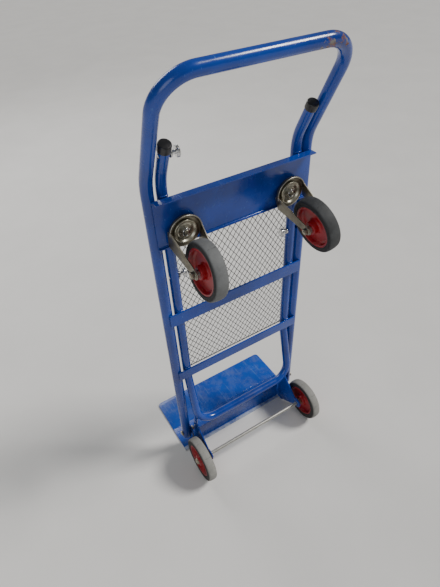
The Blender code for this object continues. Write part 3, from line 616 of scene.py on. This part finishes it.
GRIP_WORN = (
    (kinked(HANDLE_X - 0.045, 0.014, 0.228), 0.050, 0.20),
    (kinked(HANDLE_X - 0.095, 0.014, 0.218), 0.045, 0.10),
    (kinked(0.02, 0.012, 0.218), 0.050, 0.07),
    (kinked(-HANDLE_X + 0.040, 0.0, 0.232), 0.040, 0.06),
)
WHEEL_R = 0.065
CASTOR_R = 0.0625
TREAD_BAND = 0.0052

LOOKS = {
    "blue": blue_paint("blue_paint_frame", (0.0003, 0.021, 0.185), (0.0006, 0.052, 0.370), 0.4, 0.08),
    "handle": blue_paint(
        "blue_paint_handle", (0.0003, 0.022, 0.190), (0.0006, 0.054, 0.380), 0.4, 0.08, GRIP_WORN
    ),
    "toe": blue_paint("blue_paint_toe", (0.001, 0.038, 0.280), (0.003, 0.080, 0.450), 1.2, 0.28),
    # The heel strip's band in front of its web is painted pale: partly scrapes, partly a painted sunlit
    # highlight.
    "heel": blue_paint(
        "blue_paint_heel", (0.0006, 0.028, 0.220), (0.002, 0.060, 0.400), 0.9, 0.2, lip=HANDLE_Y + 0.002
    ),
    "zinc": metal("zinc_plate", (0.50, 0.46, 0.36), 0.27, 0.26, (0.18, 0.13, 0.07), 0.45),
    # The fork's last colour brightens its edges: part rubbed metal, part painted highlight.
    "fork": metal(
        "zinc_fork", (0.27, 0.245, 0.185), 0.30, 0.25, (0.12, 0.09, 0.055), 0.5, (0.86, 0.83, 0.74)
    ),
    "bright": metal("bright_steel_look", (0.56, 0.55, 0.51), 0.28, 0.2, (0.30, 0.25, 0.2), 0.3),
    # The dish's last colour brightens its rims: part rubbed metal, part painted highlight.
    "dish": metal(
        "zinc_dish", (0.62, 0.59, 0.47), 0.20, 0.2, (0.24, 0.19, 0.12), 0.35, (0.93, 0.91, 0.80)
    ),
    "chrome": metal("chrome_look", (0.80, 0.80, 0.79), 0.10, 0.14, (0.4, 0.36, 0.3), 0.25),
    "mesh": metal("mesh_wire", (0.075, 0.075, 0.078), 0.42, 0.25, (0.07, 0.04, 0.025), 0.5),
    "cap": plastic("black_cap", (0.006, 0.006, 0.007), (0.016, 0.016, 0.018), 0.26, 0.10),
    "bush": plastic("black_bush", (0.012, 0.012, 0.012), (0.03, 0.03, 0.03), 0.45, 0.2),
    "red": plastic("red_hub", (0.22, 0.0010, 0.005), (0.42, 0.003, 0.010), 0.28, 0.10),
    "tyre": rubber("wheel_rubber_look", (0.28, 0.275, 0.255), (0.022, 0.021, 0.020), WHEEL_R, 0.4),
    "castor_left": rubber(
        "castor_rubber_left", (0.15, 0.155, 0.155), (0.018, 0.018, 0.019), CASTOR_R, 0.45
    ),
    "castor_right": rubber(
        "castor_rubber_right", (0.060, 0.063, 0.065), (0.014, 0.014, 0.015), CASTOR_R, 0.85
    ),
}


# ---------------- tubes

TUBE_SIDES = 40
HANDLE_WALL = 0.0016
DECK_WALL = 0.0015
KINK_BEND = 0.110
GRIP_BEND = 0.066
DECK_FOOT = (0.040, 0.155)
DECK_SLANT_Z = 0.334
THROUGH = 0.03


def both_legs(right_leg):
    """The corners of a loop, from one leg's end to the other's, given its right half."""
    return [Vector((-p.x, p.y, p.z)) for p in right_leg] + right_leg[::-1]


def handle():
    foot = frame_point(HANDLE_X, 0, low("handle_tube").z)
    corners = both_legs([foot, frame_point(HANDLE_X, 0, KINK_Z), kinked(HANDLE_X, 0, GRIP_REACH)])
    path = fillet(corners, [KINK_BEND, GRIP_BEND, GRIP_BEND, KINK_BEND])
    mesh = bar(path, HANDLE_R, TUBE_SIDES, wall=HANDLE_WALL)
    holes = [(along_x(sign * HANDLE_X, 0, PIVOT_Z), M8_HOLE_R, THROUGH) for sign in (-1, 1)]
    # The lock pins enter the inner wall only.
    inner_wall = HANDLE_X - 0.009
    holes += [(pin_place(name, inner_wall), PIN_HOLE_R, 0.012) for name in LOCK_NAMES]
    add("handle_loop", drilled(mesh, holes), "handle", ["handle_tube"], LOOKS["handle"])


def deck_tube():
    right_leg = [
        kinked(DECK_X, DECK_N, DECK_END_REACH),
        frame_point(DECK_X, DECK_N, KINK_Z),
        frame_point(DECK_X, DECK_N, DECK_SLANT_Z),
        frame_point(DECK_X, *DECK_FOOT),
    ]
    bends = [KINK_BEND, 0.060, 0.053]
    path = fillet(both_legs(right_leg), bends + bends[::-1])
    mesh = bar(path, DECK_R, TUBE_SIDES, wall=DECK_WALL)
    mesh = drilled(mesh, [(pin_place(name, DECK_X), PIN_HOLE_R, THROUGH) for name in LOCK_NAMES])
    add("deck_loop", mesh, "deck", ["deck_tube"], LOOKS["blue"])


def end_caps():
    inner = DECK_R + GAP
    outer = inner + 0.0012
    top = 0.003
    foot = -0.013
    profile = [(0, top), (outer - 0.0015, top), (outer, 0.0012), (outer, foot)]
    profile += [(outer - 0.0005, foot), (inner, foot), (inner, GAP), (0, GAP)]
    for side, sign in SIDES.items():
        end = kinked(sign * DECK_X, DECK_N, DECK_END_REACH)
        place = Matrix.Translation(end) @ Matrix.Rotation(KINK, 4, "X")
        mesh = turned(profile, 64, round_off=0.0012)
        node = f"end_cap_{side}"
        add(f"tube_cap_{side}", mesh, "deck", [node], LOOKS["cap"], matrix=place)


# ---------------- sheet metal

PLATE_SHEET = 0.0025
PLATE_LIP = 0.0075
KING_HOLE_R = 0.0054
HEEL_SHEET = 0.0035
WEB_SHEET = 0.003
WEB_HALF = 0.155
WEB_Y = HANDLE_Y + 0.0045
LUG_R = 0.013


def weld(work, points, radius, seed):
    """A rippled weld bead along some points."""
    chance = random.Random(seed)
    path = []
    radii = []
    for a, b in zip(points, points[1:]):
        count = max(2, int((b - a).length / 0.0011))
        for k in range(count):
            path.append(a.lerp(b, k / count))
            radii.append(radius * (0.82 + 0.22 * (k % 2) + 0.14 * chance.random()))
    path.append(points[-1])
    radii.append(radius * 0.7)
    radii[0] = radius * 0.7
    sweep(work, path, radius, 8, radii=radii)


def tube_front(x, z, offset):
    """A point on the front of the deck tube's leg at a given x."""
    away = abs(x) - DECK_X
    return frame_point(x, DECK_N + math.sqrt(max(0, DECK_R ** 2 - away ** 2)) + offset, z)


def castor_plate():
    """A sheet bent into a deep top flange, a flat face and a short bottom lip."""
    a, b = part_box("castor_plate")
    half_sheet = PLATE_SHEET / 2
    back = HANDLE_R + GAP
    top = b.z - half_sheet
    foot = a.z + half_sheet
    face = back + half_sheet
    corners = [(HANDLE_Y - a.y, top), (face, top), (face, foot), (back + PLATE_LIP, foot)]
    centre_line = fillet([Vector((n, z, 0)) for n, z in corners], [0.0042, 0.003], math.radians(10))
    left = []
    right = []
    for i, point in enumerate(centre_line):
        ahead = centre_line[min(i + 1, len(centre_line) - 1)] - centre_line[max(i - 1, 0)]
        normal = Vector((-ahead.y, ahead.x, 0)).normalized() * half_sheet
        left.append((point + normal).xy[:])
        right.append((point - normal).xy[:])
    mesh = prism(left + right[::-1], b.x - a.x, 0.0003, 1)
    # The outline's n and z turn into Y and Z, and its thickness runs along X.
    mesh.transform(Matrix(((0, 0, 1, 0), (-1, 0, 0, HANDLE_Y), (0, 1, 0, 0), (0, 0, 0, 1))))
    bolts = [Matrix.Translation(middle(f"king_bolt_{side}")) @ Z_TO_OPERATOR for side in SIDES]
    mesh = drilled(mesh, [(bolt, KING_HOLE_R, 2 * THROUGH) for bolt in bolts])
    part("castor_plate", "pressing", mesh, "deck", "blue")


def crossbars():
    for name in ("crossbar_upper", "crossbar_lower"):
        half = (high(name) - low(name)) / 2
        outline = rounded(-half.x, -half.z, half.x, half.z, 0.0025, 4)
        mesh = prism(outline, 2 * half.y, 0.0006, 2)
        mesh.transform(Matrix.Translation(middle(name)) @ Z_TO_OPERATOR)
        part(name, "flat", mesh, "deck", "blue")


def frame_welds():
    """Beads across the deck tube's legs, above and below each crossbar and the castor plate."""
    work = bmesh.new()
    reach = 0.0078
    seed = 3
    for node in ("crossbar_upper", "crossbar_lower", "castor_plate"):
        for z in (low(node).z - 0.0006, high(node).z + 0.0006):
            for sign in (-1, 1):
                across = [sign * (DECK_X + reach * k / 5) for k in range(-5, 6)]
                weld(work, [tube_front(x, z, 0.0002) for x in across], 0.0017, seed)
                seed += 1
    add("frame_welds", mesh_of(work), "deck", (), LOOKS["blue"], 60)


CELL_WIDTH = 0.0152
CELL_HEIGHT = 0.0214
WIRE_RADIUS = 0.0008
WEAVE = 0.0005


def wire_mesh():
    """Woven wires in upright diamonds, clipped to the panel, in a thin rod border."""
    a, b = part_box("deck_mesh")
    margin = 0.0022
    y = (a.y + b.y) / 2
    x0, x1, z0, z1 = a.x + margin, b.x - margin, a.z + margin, b.z - margin
    across, tall = x1 - x0, z1 - z0
    step = CELL_WIDTH / 2
    slope = CELL_HEIGHT / CELL_WIDTH
    work = bmesh.new()
    for way in (1, -1):
        first = -math.ceil(across * slope / CELL_HEIGHT) if way == 1 else 0
        for k in range(first, first + math.ceil((across * slope + tall) / CELL_HEIGHT) + 1):
            start = k * CELL_HEIGHT
            ends = sorted((-way * start / slope, way * (tall - start) / slope))
            lo, hi = max(0, ends[0]), min(across, ends[1])
            if hi - lo < step:
                continue
            stops = [lo] + [i * step for i in range(math.ceil(lo / step), math.floor(hi / step) + 1)] + [hi]
            path = []
            for s in stops:
                over = math.cos(PI * s / step) if lo < s < hi else 0
                path.append(Vector((x0 + s, y + way * over * WEAVE, z0 + start + way * s * slope)))
            path = [p for i, p in enumerate(path) if i == 0 or (p - path[i - 1]).length > 1e-5]
            sweep(work, path, WIRE_RADIUS, 6)
    add("mesh_wires", mesh_of(work), "deck", (), LOOKS["mesh"], 60)
    border = [Vector((x, y, z)) for x, z in rounded(x0, z0, x1, z1, 0.004, 5)]
    mesh = bar(border + border[:1], 0.0013, 12)
    add("mesh_border_rod", mesh, "deck", ["deck_mesh"], LOOKS["mesh"])


def toe_plate():
    a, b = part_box("toe_plate")
    mesh = prism(round_topped(a.x, a.y, b.x, b.y, 0.012, 12), b.z - a.z, 0.0007, 2)
    mesh.transform(Matrix.Translation((0, 0, (a.z + b.z) / 2)))
    part("toe_plate", "sheet", mesh, "deck", "toe")


def heel_angle():
    a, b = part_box("heel_angle")
    strip = prism([(a.x, a.y), (b.x, a.y), b.xy[:], (a.x, b.y)], HEEL_SHEET, 0.0007, 2)
    strip.transform(Matrix.Translation((0, 0, HEEL_SHEET / 2)))
    outline = round_topped(-WEB_HALF, HEEL_SHEET - 0.001, WEB_HALF, b.z, 0.004, 5)
    web = prism(outline, WEB_SHEET, 0.0006, 2)
    web.transform(Matrix.Translation((0, WEB_Y, 0)) @ Z_TO_OPERATOR)
    mesh = merge([strip, web])
    add("heel_strip_and_web", mesh, "deck", ["heel_angle"], LOOKS["heel"])


def base_welds():
    """Beads along the web, stitches to the toe plate, and beads at the feet of brackets and lugs."""
    work = bmesh.new()

    def bead(x0, x1, y0, y1, z, radius, seed):
        weld(work, [Vector((x0, y0, z)), Vector((x1, y1, z))], radius, seed)

    for way in (-1, 1):
        y = WEB_Y + way * 0.0018
        bead(-WEB_HALF, WEB_HALF, y, y, HEEL_SHEET + 0.0003, 0.0016, 40 + way)
    seam = high("heel_angle").y
    for k in range(-3, 4):
        x = k * 0.058
        bead(x - 0.012, x + 0.012, seam, seam, HEEL_SHEET - 0.0004, 0.0013, 60 + k)
    for side in SIDES:
        lug = f"pivot_lug_{side}"
        bracket_foot = (f"axle_bracket_{side}", HANDLE_Y - 0.021, HANDLE_Y + 0.005, 80)
        lug_foot = (lug, low(lug).y + 0.001, high(lug).y - 0.001, 90)
        for node, y0, y1, seed in (bracket_foot, lug_foot):
            for x in (low(node).x - 0.0002, high(node).x + 0.0002):
                bead(x, x, y0, y1, HEEL_SHEET + 0.0004, 0.0014, seed)
    add("base_welds", mesh_of(work), "deck", (), LOOKS["toe"], 60)


def upright(node, outline, hole_n, hole_z, hole_r):
    """A plate across X, its outline in n and z, with one round hole."""
    a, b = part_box(node)
    hole = circle(-hole_n, hole_z, hole_r)
    mesh = prism([(-n, z) for n, z in outline], b.x - a.x, 0.0006, 2, [hole])
    mesh.transform(Matrix.Translation(((a.x + b.x) / 2, HANDLE_Y, 0)) @ ACROSS_X)
    part(node, "plate", mesh, "deck", "blue")


def brackets_and_lugs():
    for side in SIDES:
        node = f"axle_bracket_{side}"
        foot, top = low(node).z, high(node).z
        outline = [(-0.006, foot), (-0.006, 0.062), (0.017, top), (0.032, top), (0.024, 0.130)]
        outline += arc(AXLE_N, AXLE_Z, 0.016, 130, -110, 28) + [(0.022, foot)]
        upright(node, outline, AXLE_N, AXLE_Z, M10_HOLE_R)
        node = f"pivot_lug_{side}"
        foot = low(node).z
        outline = [(-LUG_R, foot), (LUG_R, foot)] + arc(0, PIVOT_Z, LUG_R, 0, 180, 28)
        upright(node, outline, 0, PIVOT_Z, M8_HOLE_R)


# ---------------- fasteners

NUT_STEPS = 72
BOLT_END = 0.0015
M8_NUT_R = 0.0075
M8_NUT_LENGTH = 0.0055
M10_NUT_R = 0.0095
M10_NUT_LENGTH = 0.007


def bolt_profile(head, shank, length):
    """A dome-headed bolt that hangs down from z = 0."""
    dome = []
    for i in range(9):
        angle = i * PI / 16
        dome.append((head * math.sin(angle), head * (0.30 + 0.26 * math.cos(angle))))
    tip = [(shank, 0.0006 - length), (shank - 0.0006, -length), (0, -length)]
    return dome + [(head, 0), (shank, 0)] + tip


def nut_mesh(radius, bore, length):
    """A hexagonal nut with chamfered ends and a plain bore."""
    work = bmesh.new()
    flat = radius * math.cos(PI / 6)
    chamfer = 0.12 * radius

    def ring(height, reach):
        """The hexagon at a height, cut off beyond a reach."""
        out = []
        for k in range(NUT_STEPS):
            angle = 2 * PI * k / NUT_STEPS
            r = min(reach, flat / math.cos((angle + PI / 6) % (PI / 3) - PI / 6))
            out.append(work.verts.new((r * math.cos(angle), r * math.sin(angle), height)))
        return out

    rings = [
        ring(length, bore),
        ring(length, 0.97 * flat),
        ring(length - 0.3 * chamfer, 1.05 * flat),
        ring(length - chamfer, radius),
        ring(0.6 * chamfer, radius),
        ring(0, 1.02 * flat),
        ring(0, bore),
    ]
    for a, b in zip(rings, rings[1:] + rings[:1]):
        bridge(work, a, b)
    return mesh_of(work)


def pivots():
    outer_x = HANDLE_X + HANDLE_R + GAP
    for side, sign in SIDES.items():
        node = f"pivot_bolt_{side}"
        profile = bolt_profile(0.0078, M8_R, outer_x - span_x(node)[0])
        mesh = turned(profile, 48, round_off=0.0003)
        part(node, "turned", mesh, "deck", "zinc", along_x(sign * outer_x, 0, PIVOT_Z, sign))
        node = f"pivot_nut_{side}"
        mesh = nut_mesh(M8_NUT_R, M8_HOLE_R, 0.0062)
        part(node, "hex", mesh, "deck", "zinc", outwards(node))


# ---------------- wheels

WHEEL_HALF = 0.013
WHEEL_HUB_HALF = 0.014


def tyre_shape(inner, outer, half):
    """A solid tyre: flat sides, a raised ring near the rim, rounded shoulders and a crowned tread."""
    upper = [
        (inner, half - 0.0006),
        (inner + 0.0015, half),
        (inner + 0.0045, half),
        (inner + 0.0052, half - 0.0005),
        (outer - 0.0062, half - 0.0005),
        (outer - 0.0048, half - 0.0002),
    ]
    shoulder = 0.0046
    upper += arc(outer - 0.0009 - shoulder, half - 0.0004 - shoulder, shoulder, 90, 12, 6)
    upper += [(outer - 0.0003, 0.45 * half), (outer, 0.16 * half)]
    return mirrored(upper)


def hub_shape(bore, rim, boss_half, rim_half):
    """A dished hub: a boss, a thin web and a rim."""
    web = 0.003
    boss = bore + 0.007
    inner = rim - 0.0045
    return mirrored([
        (bore, boss_half),
        (boss - 0.0008, boss_half),
        (boss + 0.0006, boss_half - 0.0015),
        (boss + 0.0020, web + 0.0030),
        (boss + 0.0050, web),
        (inner - 0.0060, web),
        (inner - 0.0022, web + 0.0028),
        (inner, rim_half - 0.0010),
        (inner + 0.0008, rim_half),
        (rim - 0.0004, rim_half),
        (rim, rim_half - 0.0006),
    ])


def cap_shape(length):
    """A push-on cap: a low dome with a turned-out foot, hollow inside."""
    depth = length - 0.0025
    dome = [(0, length), (0.0040, length - 0.0003), (0.0072, length - 0.0018), (0.0080, length - 0.0032)]
    foot = [(0.0084, 0.0016), (0.0095, 0.0012), (0.0095, 0), (M10_HOLE_R, 0)]
    return dome + foot + [(M10_HOLE_R, depth), (0, depth)]


def fixed_wheels():
    half = high("axle").x
    profile = mirrored([(0, half), (AXLE_R - 0.0008, half), (AXLE_R, half - 0.0008)])
    rod = turned(profile, 48, round_off=0)
    part("axle", "rod", rod, "deck", "bright", along_x(0, AXLE_N, AXLE_Z))
    for side in SIDES:
        body = f"wheel_{side}"
        at = along_x(middle(f"wheel_tyre_{side}").x, AXLE_N, AXLE_Z)
        mesh = turned(hub_shape(0.0078, 0.0477, WHEEL_HUB_HALF, 0.012), 96, True, 0.0004)
        part(f"wheel_hub_{side}", "dished", mesh, body, "red", at)
        mesh = turned(tyre_shape(0.048, WHEEL_R, WHEEL_HALF), 128, True, 0)
        part(f"wheel_tyre_{side}", "solid", mesh, body, "tyre", at)
        mesh = ring_mesh(M10_HOLE_R, 0.0075, -WHEEL_HUB_HALF, WHEEL_HUB_HALF)
        part(f"wheel_bush_{side}", "ring", mesh, body, "bush", at)
        node = f"wheel_spacer_{side}"
        near, far = span_x(node)
        mesh = ring_mesh(M10_HOLE_R, 0.009, 0, far - near, 0.0005)
        part(node, "ring", mesh, "deck", "zinc", outwards(node))
        node = f"axle_cap_{side}"
        near, far = span_x(node)
        mesh = turned(cap_shape(far - near), 48, round_off=0.0005)
        part(node, "pressed", mesh, "deck", "zinc", outwards(node))


# ---------------- castors

RACE = 0.005
SHEET = 0.0025
CROWN_R = 0.037
CROWN_RIM = 0.0165
LEG_FOOT_X = 0.027
PAD_INNER = 0.0238
PAD_OUTER = 0.0285
MOUTH_HALF = 0.08


def castor_frame(side):
    """The castor's axes, trail and reach: origin on the plate, -Y away from it, -Z along the trail."""
    joints = {j["name"]: j for j in frame["record"]["behaviour"]["joints"]}
    pivot = Vector(joints[f"castor_swivel_{side}"]["pos_m"])
    axle = Vector(joints[f"castor_spin_{side}"]["pos_m"])
    reach = axle - pivot
    turn = math.atan2(reach.x, -reach.z)
    at = Matrix.Translation(pivot) @ Matrix.Rotation(-turn, 4, "Y")
    return at, math.hypot(reach.x, reach.z), -reach.y


def crown_shape(top):
    """The crown's section: (radius, distance from the plate)."""
    inner = CROWN_R - SHEET
    floor = top + SHEET
    edge = 0.0006
    bend = 0.006
    inner_bend = 0.0045
    shape = [(M10_HOLE_R, top), (0.0235, top)] + arc(CROWN_R - bend, top + bend, bend, -90, 0, 8)
    shape += [(CROWN_R, CROWN_RIM - edge), (CROWN_R - edge, CROWN_RIM)]
    shape += [(inner + edge, CROWN_RIM), (inner, CROWN_RIM - edge)]
    shape += arc(inner - inner_bend, floor + inner_bend, inner_bend, 0, -90, 8)
    return shape + [(M10_HOLE_R, floor)]


def fork_mesh(top, trail, axle_n):
    """A domed crown, cut open towards the wheel, with two legs that lean in to pads on the axle."""
    crown = turned(crown_shape(top)[::-1], 96, True, 0)
    crown.transform(Z_TO_OPERATOR)
    work = bmesh.new()
    bmesh.ops.create_cube(work, size=2 * MOUTH_HALF)
    mouth_at = Matrix.Translation((0, -top - SHEET - GAP - MOUTH_HALF, -MOUTH_HALF))
    tools = [(mesh_of(work), "DIFFERENCE", mouth_at)]
    start = top + SHEET / 3
    outline = [(-0.006, start), (-0.006, CROWN_RIM)] + arc(trail, axle_n, 0.0115, 140, -60, 24)
    outline += [(0.032, start + 0.014), (0.028, start)]
    reach = Vector((trail, axle_n - start))
    slope = (CROWN_R - LEG_FOOT_X) / reach.length_squared
    pad_half = (PAD_OUTER - PAD_INNER) / 2
    pad_shape = mirrored([(0, pad_half), (0.0084, pad_half), (0.009, pad_half - 0.0006)])
    for sign in (-1, 1):
        leg = prism([(-n, -t) for t, n in outline], SHEET, 0.0005, 2)
        leg.transform(ACROSS_X)
        lean = Matrix.Identity(4)
        lean[0][1] = sign * slope * reach.y
        lean[0][2] = sign * slope * reach.x
        lean[0][3] = sign * (CROWN_R - SHEET / 2 + slope * reach.y * start)
        leg.transform(lean)
        tools.append((leg, "UNION", IDENTITY))
        pad_at = Matrix.Translation((sign * (PAD_INNER + pad_half), -axle_n, -trail)) @ Z_TO_X
        tools.append((turned(pad_shape, 64, round_off=0), "UNION", pad_at))
    axle_at = Matrix.Translation((0, -axle_n, -trail)) @ Z_TO_X
    return drilled(combine(crown, tools), [(axle_at, M8_HOLE_R, 3 * THROUGH)])


def cup_profile():
    """A dished cup: a flat seat for the nut, a raised ring, a trough and a rolled rim."""
    seat = [(M10_HOLE_R, 0.0015), (0.0110, 0.0015), (0.0128, 0.0021), (0.0150, 0.0021)]
    trough = [(0.0172, 0.0013), (0.0195, 0.0017), (0.0215, 0.0038)]
    rim = [(0.0228, 0.0052), (0.0238, 0.0055), (0.0247, 0.0050), (0.025, 0.0040)]
    back = [(0.0249, 0.0018), (0.0244, 0.0004), (0.0234, 0), (M10_HOLE_R, 0)]
    return seat + trough + rim + back


def race_profile():
    """A thick washer with a rounded rim."""
    rim = [(0.0225, RACE), (0.0250, RACE - 0.0012), (0.026, RACE / 2), (0.0250, 0.0012), (0.0225, 0)]
    return [(M10_HOLE_R, RACE)] + rim + [(M10_HOLE_R, 0)]


def castor(side):
    at, trail, axle_n = castor_frame(side)
    swivel = f"castor_swivel_{side}"
    wheel = f"castor_wheel_{side}"

    def from_plate(n):
        return at @ Matrix.Translation((0, -n, 0)) @ Z_TO_OPERATOR

    mesh = turned(race_profile(), 72, True, 0.0004)
    part(f"castor_race_{side}", "ring", mesh, "deck", "zinc", from_plate(GAP))
    top = RACE + 2 * GAP
    mesh = fork_mesh(top, trail, axle_n)
    part(f"castor_fork_{side}", "pressed", mesh, swivel, "fork", at, 32)
    cup_start = top + SHEET + GAP
    mesh = turned(cup_profile(), 96, True, 0.0003)
    part(f"castor_cup_{side}", "dish", mesh, "deck", "dish", from_plate(cup_start))

    nut_start = cup_start + cup_profile()[0][1] + GAP
    mesh = nut_mesh(M10_NUT_R, M10_HOLE_R, M10_NUT_LENGTH)
    part(f"king_nut_{side}", "hex", mesh, "deck", "chrome", from_plate(nut_start))
    head = PLATE_SHEET + GAP
    profile = bolt_profile(0.0085, M10_R, head + nut_start + M10_NUT_LENGTH + BOLT_END)
    mesh = turned(profile, 48, round_off=0.0003)
    place = at @ Matrix.Translation((0, head, 0)) @ Z_TO_OPERATOR.inverted()
    part(f"king_bolt_{side}", "turned", mesh, "deck", "zinc", place)

    hub_at = at @ Matrix.Translation((0, -axle_n, -trail)) @ Z_TO_X
    mesh = turned(hub_shape(0.0068, 0.0487, 0.018, 0.0135), 96, True, 0.0004)
    part(f"castor_hub_{side}", "dished", mesh, wheel, "red", hub_at)
    mesh = turned(tyre_shape(0.049, CASTOR_R, 0.0145), 128, True, 0)
    part(f"castor_tyre_{side}", "solid", mesh, wheel, f"castor_{side}", hub_at)
    half = PAD_INNER - GAP
    mesh = ring_mesh(M8_HOLE_R, 0.0065, -half, half)
    part(f"castor_bush_{side}", "sleeve", mesh, swivel, "bright", hub_at)

    head = PAD_OUTER + GAP
    profile = bolt_profile(0.0073, M8_R, 2 * head + M8_NUT_LENGTH + BOLT_END)
    mesh = turned(profile, 48, round_off=0.0003)
    place = hub_at @ Matrix.Translation((0, 0, head))
    part(f"castor_axle_{side}", "bolt", mesh, swivel, "zinc", place)
    mesh = nut_mesh(M8_NUT_R, M8_HOLE_R, M8_NUT_LENGTH)
    place = hub_at @ Matrix.Translation((0, 0, -head - M8_NUT_LENGTH))
    part(f"castor_axle_nut_{side}", "hex", mesh, swivel, "zinc", place)


# ---------------- lock plungers

KNOB_LENGTH = 0.006
KNOB_R = 0.0111


def pin_profile(total):
    """A pin with a chamfered tip on a knob with a groove round it."""
    tip = [(0, total), (0.0028, total), (PIN_R, total - 0.0014), (PIN_R, KNOB_LENGTH)]
    rim = [(0.0100, KNOB_LENGTH), (KNOB_R, KNOB_LENGTH - 0.0010), (KNOB_R, 0.62 * KNOB_LENGTH)]
    groove = [(0.0103, 0.55 * KNOB_LENGTH), (0.0103, 0.45 * KNOB_LENGTH), (KNOB_R, 0.38 * KNOB_LENGTH)]
    return tip + rim + groove + [(KNOB_R, 0.0012), (0.0098, 0.0002), (0.0070, 0), (0, 0)]


def locks():
    for name in LOCK_NAMES:
        node = f"lock_housing_{name}"
        near, far = span_x(node)
        top = far - near
        collar = [(PIN_HOLE_R, top), (0.008, top), (0.008, 0.0010), (0.0070, 0), (PIN_HOLE_R, 0)]
        mesh = turned(collar, 48, True, 0.0004)
        part(node, "collar", mesh, "deck", "chrome", outwards(node))
        node = f"lock_pin_{name}"
        near, far = span_x(node)
        mesh = turned(pin_profile(far - near), 64, round_off=0.0005)
        part(node, "knob", mesh, f"lock_{name}", "chrome", outwards(node))


# ---------------- stage

LAMP_TARGET = Vector((0, 0, 0.6))
CAMERA_PLACE = Vector((-0.4464, HANDLE_Y - 0.7063, 1.2788))
CAMERA_YAW = math.radians(-29.61)
CAMERA_RISE = math.radians(41.41)
CAMERA_ROLL = math.radians(-3.24)
CAMERA_LENS = 27.6231


def floor():
    work = bmesh.new()
    bmesh.ops.create_grid(work, x_segments=1, y_segments=1, size=60)
    plane = bpy.data.objects.new("floor", mesh_of(work))
    bpy.context.scene.collection.objects.link(plane)
    plane.location = (0, 0, low("toe_plate").z - 0.0004)
    look = Look("floor_look")
    tone = look.mix(look.ramp(look.noise(3, 4, 0.6), 0.3, 0.7), (0.66, 0.65, 0.63), (0.70, 0.69, 0.67))
    plane.data.materials.append(look.finish(tone, 0.85, look.noise(500, 3, 0.6), 0.05, 0.0005))


def lamp(name, kind, power, tint, place, towards):
    """A light at a place, its beam coming from the given direction."""
    data = bpy.data.lights.new(name, kind)
    data.energy = power
    data.color = tint
    obj = bpy.data.objects.new(name, data)
    bpy.context.scene.collection.objects.link(obj)
    obj.location = place
    obj.rotation_euler = towards.to_track_quat("Z", "Y").to_euler()
    return data


def lights():
    """A broad sun for the key, two round area lamps and a weak even sky."""
    key = lamp("key", "SUN", 3.1, (1.0, 0.98, 0.95), Vector(), Vector((2.4, -1.0, 2.8)))
    key.angle = math.radians(16)
    for name, place, size, power, tint in (
        ("fill", Vector((-2.6, -2.4, 2.0)), 2.2, 22, (0.94, 0.97, 1.0)),
        ("back", Vector((-0.4, 2.8, 2.4)), 1.6, 34, (1.0, 1.0, 1.0)),
    ):
        disk = lamp(name, "AREA", power, tint, place, place - LAMP_TARGET)
        disk.shape = "DISK"
        disk.size = size
    world = bpy.data.worlds.new("studio")
    world.use_nodes = True
    sky = world.node_tree.nodes["Background"]
    sky.inputs["Color"].default_value = (0.80, 0.83, 0.87, 1)
    sky.inputs["Strength"].default_value = 0.22
    bpy.context.scene.world = world


def camera():
    """The camera, with its lens given for a film 36 mm high."""
    data = bpy.data.cameras.new("camera")
    data.sensor_fit = "VERTICAL"
    data.sensor_height = 36
    data.lens = CAMERA_LENS
    data.clip_start = 0.01
    flat = math.cos(CAMERA_RISE)
    back = Vector((math.sin(CAMERA_YAW) * flat, -math.cos(CAMERA_YAW) * flat, math.sin(CAMERA_RISE)))
    right = Vector((math.cos(CAMERA_YAW), math.sin(CAMERA_YAW), 0))
    turn = Matrix((right, back.cross(right), back)).transposed().to_4x4()
    obj = bpy.data.objects.new("camera", data)
    bpy.context.scene.collection.objects.link(obj)
    obj.matrix_world = Matrix.Translation(CAMERA_PLACE) @ turn @ Matrix.Rotation(CAMERA_ROLL, 4, "Z")
    bpy.context.scene.camera = obj


handle()
deck_tube()
end_caps()
castor_plate()
crossbars()
frame_welds()
wire_mesh()
toe_plate()
heel_angle()
base_welds()
brackets_and_lugs()
pivots()
fixed_wheels()
for name in SIDES:
    castor(name)
locks()
floor()
lights()
camera()
